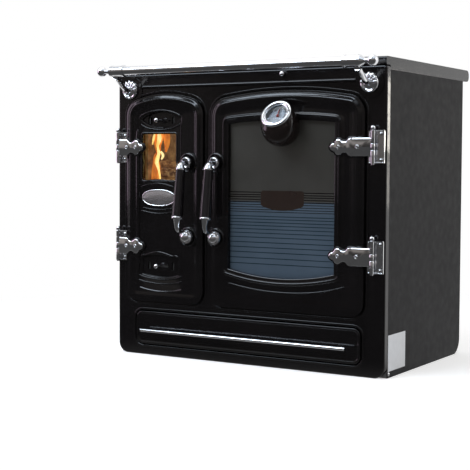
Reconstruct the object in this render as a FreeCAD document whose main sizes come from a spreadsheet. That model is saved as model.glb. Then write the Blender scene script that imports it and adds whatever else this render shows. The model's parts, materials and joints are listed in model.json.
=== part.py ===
import FreeCAD, Part
import math
import os
import re

import Sketcher
from FreeCAD import Placement, Rotation, Vector

# A wood-burning range cooker: an enamelled cast-iron front with a firebox door on the left,
# a glazed oven door on the right and a drawer below, in a sheet-steel casing under a thick hob.
# Millimetres. +X is to the right, the front faces -Y, +Z is up, and the origin is the middle
# of the footprint on the floor. A "depth" is measured backwards from the face of the front.

SIZES = {
    # casing
    "body_width": 870, "body_depth": 550, "body_height": 850,
    "front_plate": 12, "front_flange": 22, "flange_wall": 8, "front_corner": 32,
    "front_upper_corner": 8, "front_round": 6,
    "sheet_wall": 2, "panel_rear_corner": 45, "back_inset": 2, "back_foot": 20,
    "base_sheet": 3, "base_lip": 25, "base_rear_gap": 50,
    # hob
    "hob_lip": 22, "hob_skirt": 34, "hob_front_overhang": 4, "hob_rear_overhang": 47,
    "hob_nose": 15.5, "hob_edge_round": 5, "hob_border": 36, "hob_ledge": 12, "plate_thick": 8,
    "plate_rear_gap": 38, "plate_corner": 12, "fit_gap": 0.3,
    "lid_radius": 88, "lid_ledge": 10, "lid_step": 4, "lid_shift": 137, "lid_depth": 270,
    # doors
    "door_bottom": 160, "door_head": 59, "door_gap": 3.5, "door_low_corner": 38,
    "door_high_corner": 52, "recess_depth": 5, "door_seat_gap": 0.5, "door_face": 8,
    "rim_width": 27, "rim_rise": 5, "rim_round": 4.4,
    "left_stile": 32.5, "fire_door_width": 268, "fire_door_arch": 320,
    "mullion": 20, "right_stile": 55.5, "oven_door_arch": 1190,
    "border_width": 7, "border_rise": 2.5,
    "seal_inset": 4, "seal_width": 8, "seal_groove": 3.6, "seal_gap": 0.3,
    # firebox door
    "field_margin": 50, "field_right": 76, "field_low": 34, "field_high": 34, "field_sink": 2,
    "view_shift": 115, "view_width": 118, "view_low_drop": 251, "view_high_drop": 117,
    "vent_shift": 119, "lens_width": 142, "lens_height": 50, "lens_drop": 77,
    "lens_sink": 6, "air_low_rise": 106, "air_low_width": 126, "air_low_height": 56,
    "slot_width": 8, "slot_height": 24, "slot_offset": 42, "knob_slot": 52, "knob_slot_height": 7,
    "shutter_sheet": 1.5, "shutter_height": 38, "shutter_length": 140,
    "vent_knob_radius": 7.5, "vent_knob_reach": 18, "vent_stem": 2.5, "vent_knob_shift": -5,
    "badge_width": 118, "badge_height": 50, "badge_drop": 303, "badge_thick": 4,
    "pane_thick": 4, "pane_lap": 9, "pane_frame": 2, "pane_frame_lap": 13,
    # oven door
    "window_left_margin": 59, "window_right_margin": 88, "window_low_rise": 111,
    "window_high_drop": 90, "window_top_arc": 1560, "window_low_arc": 700,
    "frame_width": 18, "frame_rise": 4, "inner_pane_gap": 12, "window_peak": 9, "top_lap": 4,
    # throats of the front
    "fire_throat_left": 34, "fire_throat_right": 28, "fire_throat_reach": 88,
    "fire_throat_drop": 34, "ash_throat_low": 195, "throat_bridge": 30,
    "oven_throat_left": 37, "oven_throat_right": 65, "oven_throat_rise": 72,
    "oven_throat_drop": 76, "throat_corner": 14, "throat_round": 4,
    # hinges
    "hinge_reach": 27, "hinge_out": 14, "hinge_high_drop": 156, "hinge_low_rise": 162,
    "knuckle_radius": 6.5, "pin_radius": 3.2, "pin_fit": 0.05, "leaf_height": 87,
    "leaf_thick": 4, "leaf_seat": 2.6, "strap_width": 51, "strap_thick": 4, "knuckle_gap": 0.4,
    "fire_leaf_in": 26, "fire_leaf_out": 6, "oven_leaf_in": 17, "oven_leaf_out": 29,
    "fire_strap": 91, "oven_strap": 127, "lobe_radius": 12, "lobe_spread": 17,
    "lobe_from_tip": 27, "tip_radius": 9, "neck_width": 27, "strap_pad": 3,
    "pin_ball": 7, "screw_head": 5.5, "screw_shank": 2.5, "screw_dome": 3,
    "panel_screw_depth": 30, "panel_screw_z": 10,
    # handles
    "handle_edge": 46, "oven_handle_edge": 21, "handle_top_drop": 200, "handle_low_drop": 413,
    "boss_radius": 29, "boss_bore": 22, "boss_rise": 6, "spindle": 6, "spindle_fit": 0.05,
    "eye_radius": 17, "eye_length": 13, "arm_radius": 9, "grip_out_top": 52,
    "grip_out_low": 68, "grip_top_drop": 220, "grip_low_drop": 354, "grip_top_radius": 13.5,
    "grip_low_radius": 16, "cap_radius": 14.5, "ferrule_height": 6, "rod_radius": 6.2,
    "ball_radius": 21, "ball_out": 20, "rest_gap": 0.4, "cam_length": 8, "oven_cam_length": 2,
    "cam_width": 14, "cam_thick": 4, "cam_depth": 16.5, "keeper_size": 12, "keeper_width": 6,
    "latch_gap": 4.5, "latch_slot_half": 35,
    # thermometer
    "meter_drop": 68, "meter_out": 55, "meter_tilt": 37, "bezel_radius": 45,
    "dial_radius": 31, "bowl_radius": 54, "bowl_out": 31, "bowl_drop": 101, "bezel_height": 7,
    "dial_sink": 9, "dial_thick": 1.5, "lens_thick": 2, "needle_length": 24,
    # towel rail
    "rail_out": 84, "rail_drop": 17.5, "rail_radius": 13, "rail_in": 69, "sleeve_start_in": 84,
    "sleeve_end_in": 36, "sleeve_radius": 15.5, "finial_neck": 7, "finial_ball": 15,
    "finial_in": 3, "bracket_in": 47.5, "bracket_drop": 69, "rosette_radius": 26,
    "rosette_thick": 9, "seat_radius": 40, "seat_rise": 2.6, "bracket_arm": 9,
    # ridge below the hob
    "ridge_drop": 60, "ridge_in": 92, "ridge_radius": 5,
    # drawer
    "drawer_in": 68, "drawer_low": 33, "drawer_high": 130, "drawer_corner": 22,
    "drawer_face": 4, "drawer_field": 9, "drawer_sink": 2, "drawer_box_gap": 12,
    "drawer_box_low": 40, "drawer_box_high": 118, "drawer_box_rear_gap": 110, "box_wall": 1.5,
    "bar_in": 34, "bar_radius": 4.8, "bar_out": 28, "bar_z": 76, "bar_post_in": 33,
    "guide_ledge": 20, "guide_sheet": 2, "guide_rear_gap": 80, "guide_front": 26,
    # fire, oven and flue
    "shell_wall": 5, "shell_side_gap": 8, "shell_low": 180, "shell_rear_gap": 130,
    "brick_thick": 24, "brick_bed": 0.3, "brick_high_drop": 71.7, "brick_rows": 2, "brick_front": 32,
    "brick_columns": 3, "brick_joint": 1, "grate_thick": 12, "grate_sink": 5,
    "grate_slots": 9, "grate_slot": 10, "ledge_width": 8, "ledge_height": 10,
    "pan_wall": 1.5, "pan_high": 255, "pan_rear_gap": 170, "pan_clear": 5,
    "oven_wall": 2, "oven_rear_gap": 90, "chamber_drop": 153, "chamber_in": 80,
    "chamber_front": 40, "chamber_rear_gap": 80, "chamber_wall": 4,
    "flue_shift": 10, "flue_drop": 92.5, "flue_radius": 57, "flue_wall": 2, "flue_reach": 42,
    "flue_step": 1.5, "flue_opening": 80, "flue_lap": 10,
    "runner_count": 4, "runner_first": 290, "runner_pitch": 95, "runner_ledge": 9,
    "runner_sheet": 1.5, "rack_level": 2, "rack_wire": 2.5, "rack_bars": 15,
    # flue damper
    "damper_drop": 37, "damper_knob": 8, "damper_rod": 4, "damper_plate": 3, "damper_size": 120,
    "damper_fit": 0.06, "damper_back_gap": 3,
}

# Places and levels that follow from the sizes above. They are cells of the same sheet.
PLACES = {
    "door_top": "body_height - hob_lip - door_head",
    "fire_left": "left_stile + door_gap - body_width / 2",
    "oven_left": "fire_left + fire_door_width + 2 * door_gap + mullion",
    "oven_right": "body_width / 2 - right_stile - door_gap",
    "plate_rear": "body_depth - plate_rear_gap", "lid_x": "fire_left + lid_shift",
    "view_centre": "fire_left + view_shift", "vent_centre": "fire_left + vent_shift",
    "view_low": "door_top - view_low_drop", "view_high": "door_top - view_high_drop",
    "lens_z": "door_top - lens_drop", "air_low_z": "door_bottom + air_low_rise",
    "badge_z": "door_top - badge_drop",
    "window_side_low": "door_bottom + window_low_rise",
    "window_side_high": "door_top - window_high_drop",
    "fire_throat_high": "door_top - fire_throat_drop",
    "fire_throat_low": "view_low - fire_throat_reach",
    "ash_throat_high": "fire_throat_low - throat_bridge",
    "grate_low": "fire_throat_low - grate_sink",
    "brick_low": "grate_low + grate_thick + brick_bed",
    "oven_throat_low": "door_bottom + oven_throat_rise",
    "oven_throat_high": "door_top - oven_throat_drop",
    "hinge_high_z": "door_top - hinge_high_drop", "hinge_low_z": "door_bottom + hinge_low_rise",
    "handle_top": "door_top - handle_top_drop", "handle_low": "door_top - handle_low_drop",
    "grip_top": "door_top - grip_top_drop", "grip_low": "door_top - grip_low_drop",
    "meter_x": "(oven_left + oven_right) / 2", "meter_z": "door_top - meter_drop",
    "bowl_z": "door_top - bowl_drop",
    "rail_z": "body_height - rail_drop", "rail_half": "body_width / 2 - rail_in",
    "sleeve_start": "body_width / 2 - sleeve_start_in",
    "sleeve_end": "body_width / 2 - sleeve_end_in", "finial_x": "body_width / 2 - finial_in",
    "bracket_x": "body_width / 2 - bracket_in", "bracket_z": "body_height - bracket_drop",
    "ridge_z": "body_height - ridge_drop", "ridge_half": "body_width / 2 - ridge_in",
    "drawer_half": "body_width / 2 - drawer_in",
    "drawer_box_half": "drawer_half - drawer_box_gap",
    "drawer_box_rear": "body_depth - drawer_box_rear_gap",
    "bar_half": "drawer_half - bar_in", "bar_post_x": "bar_half - bar_post_in",
    "guide_rear": "body_depth - guide_rear_gap", "shell_rear": "body_depth - shell_rear_gap",
    "brick_high": "door_top - brick_high_drop", "pan_rear": "body_depth - pan_rear_gap",
    "oven_rear": "body_depth - oven_rear_gap", "chamber_low": "body_height - chamber_drop",
    "chamber_right": "body_width / 2 - chamber_in",
    "chamber_rear": "body_depth - chamber_rear_gap",
    "flue_x": "meter_x - flue_shift", "flue_z": "body_height - flue_drop",
    "flue_rear": "body_depth + flue_reach", "damper_z": "body_height - damper_drop",
    "base_rear": "body_depth - base_rear_gap",
}

doc = FreeCAD.newDocument("range_cooker")
sheet = doc.addObject("Spreadsheet::Sheet", "sizes")
CELLS = {**SIZES, **{word: "=" + formula for word, formula in PLACES.items()}}
for row, (word, content) in enumerate(CELLS.items(), start=1):
    sheet.set("A%d" % row, word)
    sheet.set("B%d" % row, str(content))
    sheet.setAlias("B%d" % row, word)
doc.recompute()

NODES = []
WORD = re.compile(r"[a-z][a-z_]*")


def value(formula):
    """The number that a formula of sheet words gives now."""
    result = sheet.evalExpression(str(formula))
    return float(getattr(result, "Value", result))


def bind(thing, prop, formula):
    """Tie a property of a document object to a formula of sheet words."""
    words = WORD.sub(lambda match: "sizes." + match.group() if match.group() in CELLS
                     else match.group(), str(formula))
    thing.setExpression(prop, words)


def node(thing, label):
    """Name a finished sub-part; its label is also its file name."""
    thing.Label = label
    NODES.append(thing)
    return thing


# ---- places that several pieces share, as formulas of the sheet's words ----

LEFT, RIGHT = "(-body_width / 2)", "(body_width / 2)"
FRONT_TOP = "(body_height - hob_lip)"
SKIRT_LOW = "(body_height - hob_skirt)"
DOOR_TOP = "door_top"
FIRE_LEFT = "fire_left"
FIRE_RIGHT = "(fire_left + fire_door_width)"
OVEN_LEFT = "oven_left"
OVEN_RIGHT = "oven_right"
DOOR_BACK = "(recess_depth - door_seat_gap)"
FACE = "(-door_face)"
RIM = "(-door_face - rim_rise)"
WINDOW_LEFT = "(%s + window_left_margin)" % OVEN_LEFT
WINDOW_RIGHT = "(%s - window_right_margin)" % OVEN_RIGHT
FIRE_THROAT = ("(%s + fire_throat_left)" % FIRE_LEFT, "(%s - fire_throat_right)" % FIRE_RIGHT)
OVEN_THROAT = ("(%s + oven_throat_left)" % OVEN_LEFT, "(%s - oven_throat_right)" % OVEN_RIGHT)
FIRE_HANDLE = "(%s - handle_edge)" % FIRE_RIGHT
OVEN_HANDLE = "(%s + oven_handle_edge)" % OVEN_LEFT
FIRE_HINGE = "(%s - hinge_reach)" % FIRE_LEFT
OVEN_HINGE = "(%s + hinge_reach)" % OVEN_RIGHT
HINGE_LEVELS = ("hinge_high_z", "hinge_low_z")


def at_depth(depth):
    """Y of a depth behind the face of the front."""
    return "(%s - body_depth / 2)" % depth


# ---- sketches ----

def origin_plane(body, role):
    return [plane for plane in body.Origin.OriginFeatures if plane.Role == role][0]


def new_sketch(body, name, role, offset):
    """A sketch on one of the body's origin planes, moved along the plane's normal."""
    drawing = body.newObject("Sketcher::SketchObject", name)
    drawing.AttachmentSupport = [(origin_plane(body, role), "")]
    drawing.MapMode = "FlatFace"
    bind(drawing, "AttachmentOffset.Base.z", offset)
    return drawing


def front_sketch(body, name, depth):
    """A sketch that faces the front, at a depth."""
    return new_sketch(body, name, "XZ_Plane", "-%s" % at_depth(depth))


def plan_sketch(body, name, level):
    """A sketch that lies flat, at a height."""
    return new_sketch(body, name, "XY_Plane", level)


def dimension(drawing, kind, where, formula):
    """Add a dimension and tie it to a formula."""
    index = drawing.addConstraint(Sketcher.Constraint(kind, *where, value(formula)))
    bind(drawing, "Constraints[%d]" % index, formula)


def relate(drawing, *relations):
    drawing.addConstraint([Sketcher.Constraint(*relation) for relation in relations])


def point(x, y):
    return Vector(x, y, 0)


def arc(centre, radius, start, end):
    circle = Part.Circle(Vector(centre[0], centre[1], 0), Vector(0, 0, 1), radius)
    return Part.ArcOfCircle(circle, start, end)


def draw_rectangle(drawing, left, right, low, high):
    """A plain rectangle, placed by its four sides."""
    x0, x1, y0, y1 = value(left), value(right), value(low), value(high)
    corners = [point(x0, y0), point(x1, y0), point(x1, y1), point(x0, y1)]
    first = drawing.GeometryCount
    for index in range(4):
        drawing.addGeometry(Part.LineSegment(corners[index], corners[(index + 1) % 4]), False)
    for index in range(4):
        relate(drawing, ("Coincident", first + index, 2, first + (index + 1) % 4, 1))
    relate(drawing, ("Horizontal", first), ("Vertical", first + 1),
           ("Horizontal", first + 2), ("Vertical", first + 3))
    dimension(drawing, "DistanceX", (-1, 1, first, 1), left)
    dimension(drawing, "DistanceX", (-1, 1, first + 1, 1), right)
    dimension(drawing, "DistanceY", (-1, 1, first, 1), low)
    dimension(drawing, "DistanceY", (-1, 1, first + 2, 1), high)


def draw_rounded(drawing, left, right, low, high, corner, upper=None):
    """A rectangle with one radius at its four corners, or another radius at its upper two."""
    x0, x1, y0, y1, r, q = (value(item) for item in (left, right, low, high, corner, upper or corner))
    quarter = math.pi / 2
    shapes = [
        Part.LineSegment(point(x0 + r, y0), point(x1 - r, y0)),
        arc((x1 - r, y0 + r), r, -quarter, 0),
        Part.LineSegment(point(x1, y0 + r), point(x1, y1 - q)),
        arc((x1 - q, y1 - q), q, 0, quarter),
        Part.LineSegment(point(x1 - q, y1), point(x0 + q, y1)),
        arc((x0 + q, y1 - q), q, quarter, 2 * quarter),
        Part.LineSegment(point(x0, y1 - q), point(x0, y0 + r)),
        arc((x0 + r, y0 + r), r, 2 * quarter, 3 * quarter),
    ]
    first = drawing.GeometryCount
    for shape in shapes:
        drawing.addGeometry(shape, False)
    for index in range(8):
        relate(drawing, ("Tangent", first + index, 2, first + (index + 1) % 8, 1))
    relate(drawing, ("Horizontal", first), ("Vertical", first + 2),
           ("Horizontal", first + 4), ("Vertical", first + 6))
    relate(drawing, ("Equal", first + 1, first + 7), ("Equal", first + 3, first + 5))
    dimension(drawing, "Radius", (first + 1,), corner)
    dimension(drawing, "Radius", (first + 3,), upper or corner)
    dimension(drawing, "DistanceX", (-1, 1, first + 6, 1), left)
    dimension(drawing, "DistanceX", (-1, 1, first + 2, 1), right)
    dimension(drawing, "DistanceY", (-1, 1, first, 1), low)
    dimension(drawing, "DistanceY", (-1, 1, first + 4, 1), high)


def draw_door(drawing, left, right, arch, inset="0"):
    """The outline of a door, or of a line a steady inset inside it: straight sides, round
    lower corners and a flat arch that runs into the upper corners."""
    x0, x1 = "(%s + %s)" % (left, inset), "(%s - %s)" % (right, inset)
    low, top = "(door_bottom + %s)" % inset, "(%s - %s)" % (DOOR_TOP, inset)
    low_radius, high_radius = "(door_low_corner - %s)" % inset, "(door_high_corner - %s)" % inset
    arch_radius = "(%s - %s)" % (arch, inset)
    a, b, y0, y1, r, q, big = (value(item) for item in
                               (x0, x1, low, top, low_radius, high_radius, arch_radius))
    middle, half = (a + b) / 2, (b - a) / 2
    arch_y = y1 - big
    corner_y = arch_y + math.sqrt((big - q) ** 2 - (half - q) ** 2)
    turn = math.atan2(corner_y - arch_y, half - q)
    shapes = [
        Part.LineSegment(point(a + r, y0), point(b - r, y0)),
        arc((b - r, y0 + r), r, -math.pi / 2, 0),
        Part.LineSegment(point(b, y0 + r), point(b, corner_y)),
        arc((b - q, corner_y), q, 0, turn),
        arc((middle, arch_y), big, turn, math.pi - turn),
        arc((a + q, corner_y), q, math.pi - turn, math.pi),
        Part.LineSegment(point(a, corner_y), point(a, y0 + r)),
        arc((a + r, y0 + r), r, math.pi, 1.5 * math.pi),
    ]
    first = drawing.GeometryCount
    for shape in shapes:
        drawing.addGeometry(shape, False)
    for index in range(8):
        relate(drawing, ("Tangent", first + index, 2, first + (index + 1) % 8, 1))
    relate(drawing, ("Horizontal", first), ("Vertical", first + 2), ("Vertical", first + 6),
           ("Equal", first + 1, first + 7), ("Equal", first + 3, first + 5))
    dimension(drawing, "Radius", (first + 1,), low_radius)
    dimension(drawing, "Radius", (first + 3,), high_radius)
    dimension(drawing, "Radius", (first + 4,), arch_radius)
    dimension(drawing, "DistanceX", (-1, 1, first + 6, 1), x0)
    dimension(drawing, "DistanceX", (-1, 1, first + 2, 1), x1)
    dimension(drawing, "DistanceY", (-1, 1, first, 1), low)
    dimension(drawing, "DistanceX", (-1, 1, first + 4, 3), "(%s + %s) / 2" % (x0, x1))
    dimension(drawing, "DistanceY", (-1, 1, first + 4, 3), "%s - %s" % (top, arch_radius))


def draw_bowed(drawing, grow="0"):
    """The oven window, or the same outline grown: straight sides between two flat arcs."""
    left, right = "(%s - %s)" % (WINDOW_LEFT, grow), "(%s + %s)" % (WINDOW_RIGHT, grow)
    low, high = "(window_side_low - %s)" % grow, "(window_side_high + %s)" % grow
    top_radius, low_radius = "(window_top_arc + %s)" % grow, "(window_low_arc + %s)" % grow
    x0, x1, y0, y1, upper, lower = (value(item) for item in
                                    (left, right, low, high, top_radius, low_radius))
    middle, half = (x0 + x1) / 2, (x1 - x0) / 2
    top_y = y1 - math.sqrt(upper ** 2 - half ** 2)
    low_y = y0 + math.sqrt(lower ** 2 - half ** 2)
    up, down = math.acos(half / upper), math.acos(half / lower)
    shapes = [
        arc((middle, low_y), lower, math.pi + down, 2 * math.pi - down),
        Part.LineSegment(point(x1, y0), point(x1, y1)),
        arc((middle, top_y), upper, up, math.pi - up),
        Part.LineSegment(point(x0, y1), point(x0, y0)),
    ]
    first = drawing.GeometryCount
    for shape in shapes:
        drawing.addGeometry(shape, False)
    for index in range(4):
        relate(drawing, ("Coincident", first + index, 2, first + (index + 1) % 4, 1))
    relate(drawing, ("Vertical", first + 1), ("Vertical", first + 3))
    dimension(drawing, "Radius", (first,), low_radius)
    dimension(drawing, "Radius", (first + 2,), top_radius)
    dimension(drawing, "DistanceX", (-1, 1, first + 3, 1), left)
    dimension(drawing, "DistanceX", (-1, 1, first + 1, 1), right)
    dimension(drawing, "DistanceY", (-1, 1, first + 1, 1), low)
    dimension(drawing, "DistanceY", (-1, 1, first + 1, 2), high)
    dimension(drawing, "DistanceY", (-1, 1, first + 3, 1), high)
    dimension(drawing, "DistanceY", (-1, 1, first + 3, 2), low)


def draw_lens(drawing, centre, level, width, height):
    """A pointed oval: two equal arcs that meet at its tips."""
    x, y, half, rise = value(centre), value(level), value(width) / 2, value(height) / 2
    formula = "((%s / 2) ^ 2 + (%s / 2) ^ 2) / (%s)" % (width, height, height)
    radius = value(formula)
    swing = math.asin(half / radius)
    quarter = math.pi / 2
    shapes = [
        arc((x, y + rise - radius), radius, quarter - swing, quarter + swing),
        arc((x, y - rise + radius), radius, 3 * quarter - swing, 3 * quarter + swing),
    ]
    first = drawing.GeometryCount
    for shape in shapes:
        drawing.addGeometry(shape, False)
    relate(drawing, ("Coincident", first, 2, first + 1, 1),
           ("Coincident", first + 1, 2, first, 1), ("Equal", first, first + 1))
    dimension(drawing, "Radius", (first,), formula)
    dimension(drawing, "DistanceX", (-1, 1, first, 1), "%s + %s / 2" % (centre, width))
    dimension(drawing, "DistanceX", (-1, 1, first, 2), "%s - %s / 2" % (centre, width))
    dimension(drawing, "DistanceY", (-1, 1, first, 1), level)
    dimension(drawing, "DistanceY", (-1, 1, first, 2), level)


def draw_circle(drawing, x, y, radius):
    first = drawing.GeometryCount
    circle = Part.Circle(Vector(value(x), value(y), 0), Vector(0, 0, 1), value(radius))
    drawing.addGeometry(circle, False)
    dimension(drawing, "Radius", (first,), radius)
    dimension(drawing, "DistanceX", (-1, 1, first, 3), x)
    dimension(drawing, "DistanceY", (-1, 1, first, 3), y)


# ---- features ----

def new_body(name):
    return doc.addObject("PartDesign::Body", name)


def pad(body, drawing, length):
    """Material from the sketch along its normal: towards the front, or upwards."""
    before = body.Shape.Volume if body.Tip else 0
    feature = body.newObject("PartDesign::Pad", drawing.Name + "_pad")
    feature.Profile = drawing
    bind(feature, "Length", length)
    doc.recompute()
    if feature.Shape.isNull() or body.Shape.Volume <= before + 1e-3:
        raise RuntimeError("%s adds nothing" % feature.Name)
    return feature


def pocket(body, drawing, length):
    """A cut from the sketch against its normal: towards the back, or downwards."""
    before = body.Shape.Volume
    feature = body.newObject("PartDesign::Pocket", drawing.Name + "_pocket")
    feature.Profile = drawing
    bind(feature, "Length", length)
    doc.recompute()
    if feature.Shape.isNull() or body.Shape.Volume >= before - 1e-3:
        raise RuntimeError("%s cuts nothing" % feature.Name)
    return feature


def round_edges(body, radius, chosen):
    """A fillet on the edges of the body that a test picks."""
    doc.recompute()
    names = ["Edge%d" % (index + 1) for index, edge in enumerate(body.Shape.Edges)
             if chosen(edge)]
    if not names:
        raise RuntimeError("no edge to round on %s" % body.Name)
    base = body.Tip
    feature = body.newObject("PartDesign::Fillet", body.Name + "_fillet")
    feature.Base = (base, names)
    bind(feature, "Radius", radius)
    doc.recompute()
    if "Invalid" in feature.State:
        raise RuntimeError("%s: %s" % (feature.Name, feature.getStatusString()))
    return feature


def edge_in_plane(edge, axis, place):
    """Whether an edge lies in the plane where one coordinate has a value."""
    box = edge.BoundBox
    low, high = {"x": (box.XMin, box.XMax), "y": (box.YMin, box.YMax),
                 "z": (box.ZMin, box.ZMax)}[axis]
    return abs(low - place) < 1e-3 and abs(high - place) < 1e-3


# ---- primitives, placed by formulas ----

def block(name, x, depth, z):
    """A box between two places on each axis."""
    solid = doc.addObject("Part::Box", name)
    for size, span in (("Length", x), ("Width", depth), ("Height", z)):
        bind(solid, size, "%s - (%s)" % (span[1], span[0]))
    bind(solid, "Placement.Base.x", x[0])
    bind(solid, "Placement.Base.y", at_depth(depth[0]))
    bind(solid, "Placement.Base.z", z[0])
    return solid


TURNS = {
    "x": Rotation(Vector(0, 1, 0), 90),
    "back": Rotation(Vector(1, 0, 0), -90),
    "front": Rotation(Vector(1, 0, 0), 90),
    "up": Rotation(),
}


def place(solid, x, depth, z, way):
    solid.Placement = Placement(Vector(), TURNS[way])
    bind(solid, "Placement.Base.x", x)
    bind(solid, "Placement.Base.y", at_depth(depth))
    bind(solid, "Placement.Base.z", z)
    return solid


def rod(name, radius, length, x, depth, z, way):
    """A round bar from a point along an axis."""
    solid = doc.addObject("Part::Cylinder", name)
    bind(solid, "Radius", radius)
    bind(solid, "Height", length)
    return place(solid, x, depth, z, way)


def ball(name, radius, x, depth, z):
    solid = doc.addObject("Part::Sphere", name)
    bind(solid, "Radius", radius)
    return place(solid, x, depth, z, "up")


def dome(name, radius, rise, x, depth, z):
    """A button head that stands out towards the front: a spherical cap."""
    sphere = "((%s) ^ 2 + (%s) ^ 2) / (2 * (%s))" % (radius, rise, rise)
    cap = ball(name + "_ball", sphere, x, "(%s - (%s) + %s)" % (depth, rise, sphere), z)
    keep = rod(name + "_keep", radius, rise, x, depth, z, "front")
    return common(name, cap, keep)


def common(name, first, second):
    result = doc.addObject("Part::Common", name)
    result.Base, result.Tool = first, second
    return result


def fuse(name, pieces):
    result = doc.addObject("Part::MultiFuse", name)
    result.Shapes = pieces
    result.Refine = True
    return result


def cut(name, base, tools):
    """The base less every tool."""
    result = doc.addObject("Part::Cut", name)
    result.Base = base
    result.Tool = tools[0] if len(tools) == 1 else fuse(name + "_tools", tools)
    return result


def group(name, pieces):
    """Separate solids that share one name, such as identical fasteners."""
    result = doc.addObject("Part::Compound", name)
    result.Links = pieces
    return result


def formed(name, shape):
    """A piece whose shape is worked out in code."""
    feature = doc.addObject("Part::Feature", name)
    feature.Shape = shape
    return feature


# ---- the cast front ----

def front_casting():
    body = new_body("front")
    outline = front_sketch(body, "front_outline", "front_plate")
    draw_rounded(outline, LEFT, RIGHT, "0", FRONT_TOP, "front_corner", "front_upper_corner")
    pad(body, outline, "front_plate")

    flange = front_sketch(body, "front_flange_ring", "front_flange")
    draw_rounded(flange, LEFT, RIGHT, "0", FRONT_TOP, "front_corner", "front_upper_corner")
    draw_rounded(flange, "(%s + flange_wall)" % LEFT, "(%s - flange_wall)" % RIGHT,
                 "flange_wall", "(%s - flange_wall)" % FRONT_TOP, "(front_corner - flange_wall)",
                 "front_upper_corner / 2")
    pad(body, flange, "front_flange - front_plate")

    for name, left, right, arch in (("fire", FIRE_LEFT, FIRE_RIGHT, "fire_door_arch"),
                                    ("oven", OVEN_LEFT, OVEN_RIGHT, "oven_door_arch")):
        border = front_sketch(body, name + "_border", "0")
        draw_door(border, left, right, arch, "(-door_gap - border_width)")
        pad(body, border, "border_rise")
        recess = front_sketch(body, name + "_recess", "(-border_rise)")
        draw_door(recess, left, right, arch, "(-door_gap)")
        pocket(body, recess, "recess_depth + border_rise")

    ring = front_sketch(body, "drawer_border", "0")
    draw_rounded(ring, "(-drawer_half - door_gap - border_width)",
                 "(drawer_half + door_gap + border_width)",
                 "(drawer_low - door_gap - border_width)",
                 "(drawer_high + door_gap + border_width)",
                 "(drawer_corner + door_gap + border_width)")
    pad(body, ring, "border_rise")

    openings = front_sketch(body, "throats", "(-border_rise)")
    draw_rounded(openings, FIRE_THROAT[0], FIRE_THROAT[1], "fire_throat_low",
                 "fire_throat_high", "throat_round")
    draw_rounded(openings, FIRE_THROAT[0], FIRE_THROAT[1], "ash_throat_low",
                 "ash_throat_high", "throat_round")
    draw_rounded(openings, OVEN_THROAT[0], OVEN_THROAT[1], "oven_throat_low",
                 "oven_throat_high", "throat_round")
    draw_rounded(openings, "(-drawer_half - door_gap)", "(drawer_half + door_gap)",
                 "(drawer_low - door_gap)", "(drawer_high + door_gap)",
                 "(drawer_corner + door_gap)")
    draw_circle(openings, "flue_x", "damper_z", "(damper_rod + damper_fit)")
    pocket(body, openings, "front_plate + border_rise")

    front = value(at_depth("0"))
    border = value(at_depth("(-border_rise)"))
    round_edges(body, "border_rise - 0.3", lambda edge: edge_in_plane(edge, "y", border))
    round_edges(body, "front_round", lambda edge: edge_in_plane(edge, "y", front)
                and edge.BoundBox.DiagonalLength > value(FRONT_TOP) / 2
                and abs(abs(edge.CenterOfMass.x) - value(RIGHT)) < 1)

    seats = front_sketch(body, "bracket_seats", "0")
    for side in ("(-bracket_x)", "bracket_x"):
        draw_circle(seats, side, "bracket_z", "seat_radius")
    pad(body, seats, "seat_rise")
    seat_trim = front_sketch(body, "seat_trim", "(-seat_rise)")
    draw_door(seat_trim, FIRE_LEFT, FIRE_RIGHT, "fire_door_arch", "(-door_gap)")
    pocket(body, seat_trim, "recess_depth + seat_rise")
    for index, level in enumerate(HINGE_LEVELS):
        pads = front_sketch(body, "leaf_pads_%d" % index, "0")
        low, high = "(%s - leaf_height / 2)" % level, "(%s + leaf_height / 2)" % level
        draw_rectangle(pads, "(%s - fire_leaf_out)" % FIRE_HINGE, "(%s - door_gap - 1)" % FIRE_LEFT,
                       low, high)
        draw_rectangle(pads, "(%s - oven_leaf_in)" % OVEN_HINGE,
                       "(%s + oven_leaf_out)" % OVEN_HINGE, low, high)
        pad(body, pads, "leaf_seat")
    latch_slot = front_sketch(body, "oven_latch_slot", "recess_depth")
    draw_rectangle(latch_slot, "(%s - spindle - latch_gap)" % OVEN_HANDLE,
                   "(%s + 1)" % OVEN_THROAT[0], "(handle_top - latch_slot_half)",
                   "(handle_top + latch_slot_half)")
    pocket(body, latch_slot, "front_plate - recess_depth")
    return body


def ridge():
    """The half-round ridge that runs across the front below the hob, fused to the casting."""
    bar = rod("ridge_bar", "ridge_radius", "2 * ridge_half", "(-ridge_half)", "0", "ridge_z", "x")
    ends = [ball("ridge_end_%d" % index, "ridge_radius", x, "0", "ridge_z")
            for index, x in enumerate(("(-ridge_half)", "ridge_half"))]
    return [bar] + ends


node(fuse("front_casting_solid", [front_casting()] + ridge()), "front_casting")


# ---- casing ----

def side_panel(name, outer, inner):
    """A steel side sheet with a round lower rear corner."""
    sheet_block = block(name + "_sheet", (outer, inner), ("front_flange", "body_depth - back_inset"),
                        ("0", SKIRT_LOW))
    corner = block(name + "_corner", (outer, inner),
                   ("body_depth - back_inset - panel_rear_corner", "body_depth - back_inset + 1"),
                   ("-1", "panel_rear_corner"))
    keep = rod(name + "_keep", "panel_rear_corner", "sheet_wall", outer,
               "body_depth - back_inset - panel_rear_corner", "panel_rear_corner", "x")
    return cut(name, sheet_block, [cut(name + "_waste", corner, [keep])])


node(side_panel("panel_left", LEFT, "(%s + sheet_wall)" % LEFT), "side_panel_left")
node(side_panel("panel_right", "(%s - sheet_wall)" % RIGHT, RIGHT), "side_panel_right")

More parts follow.
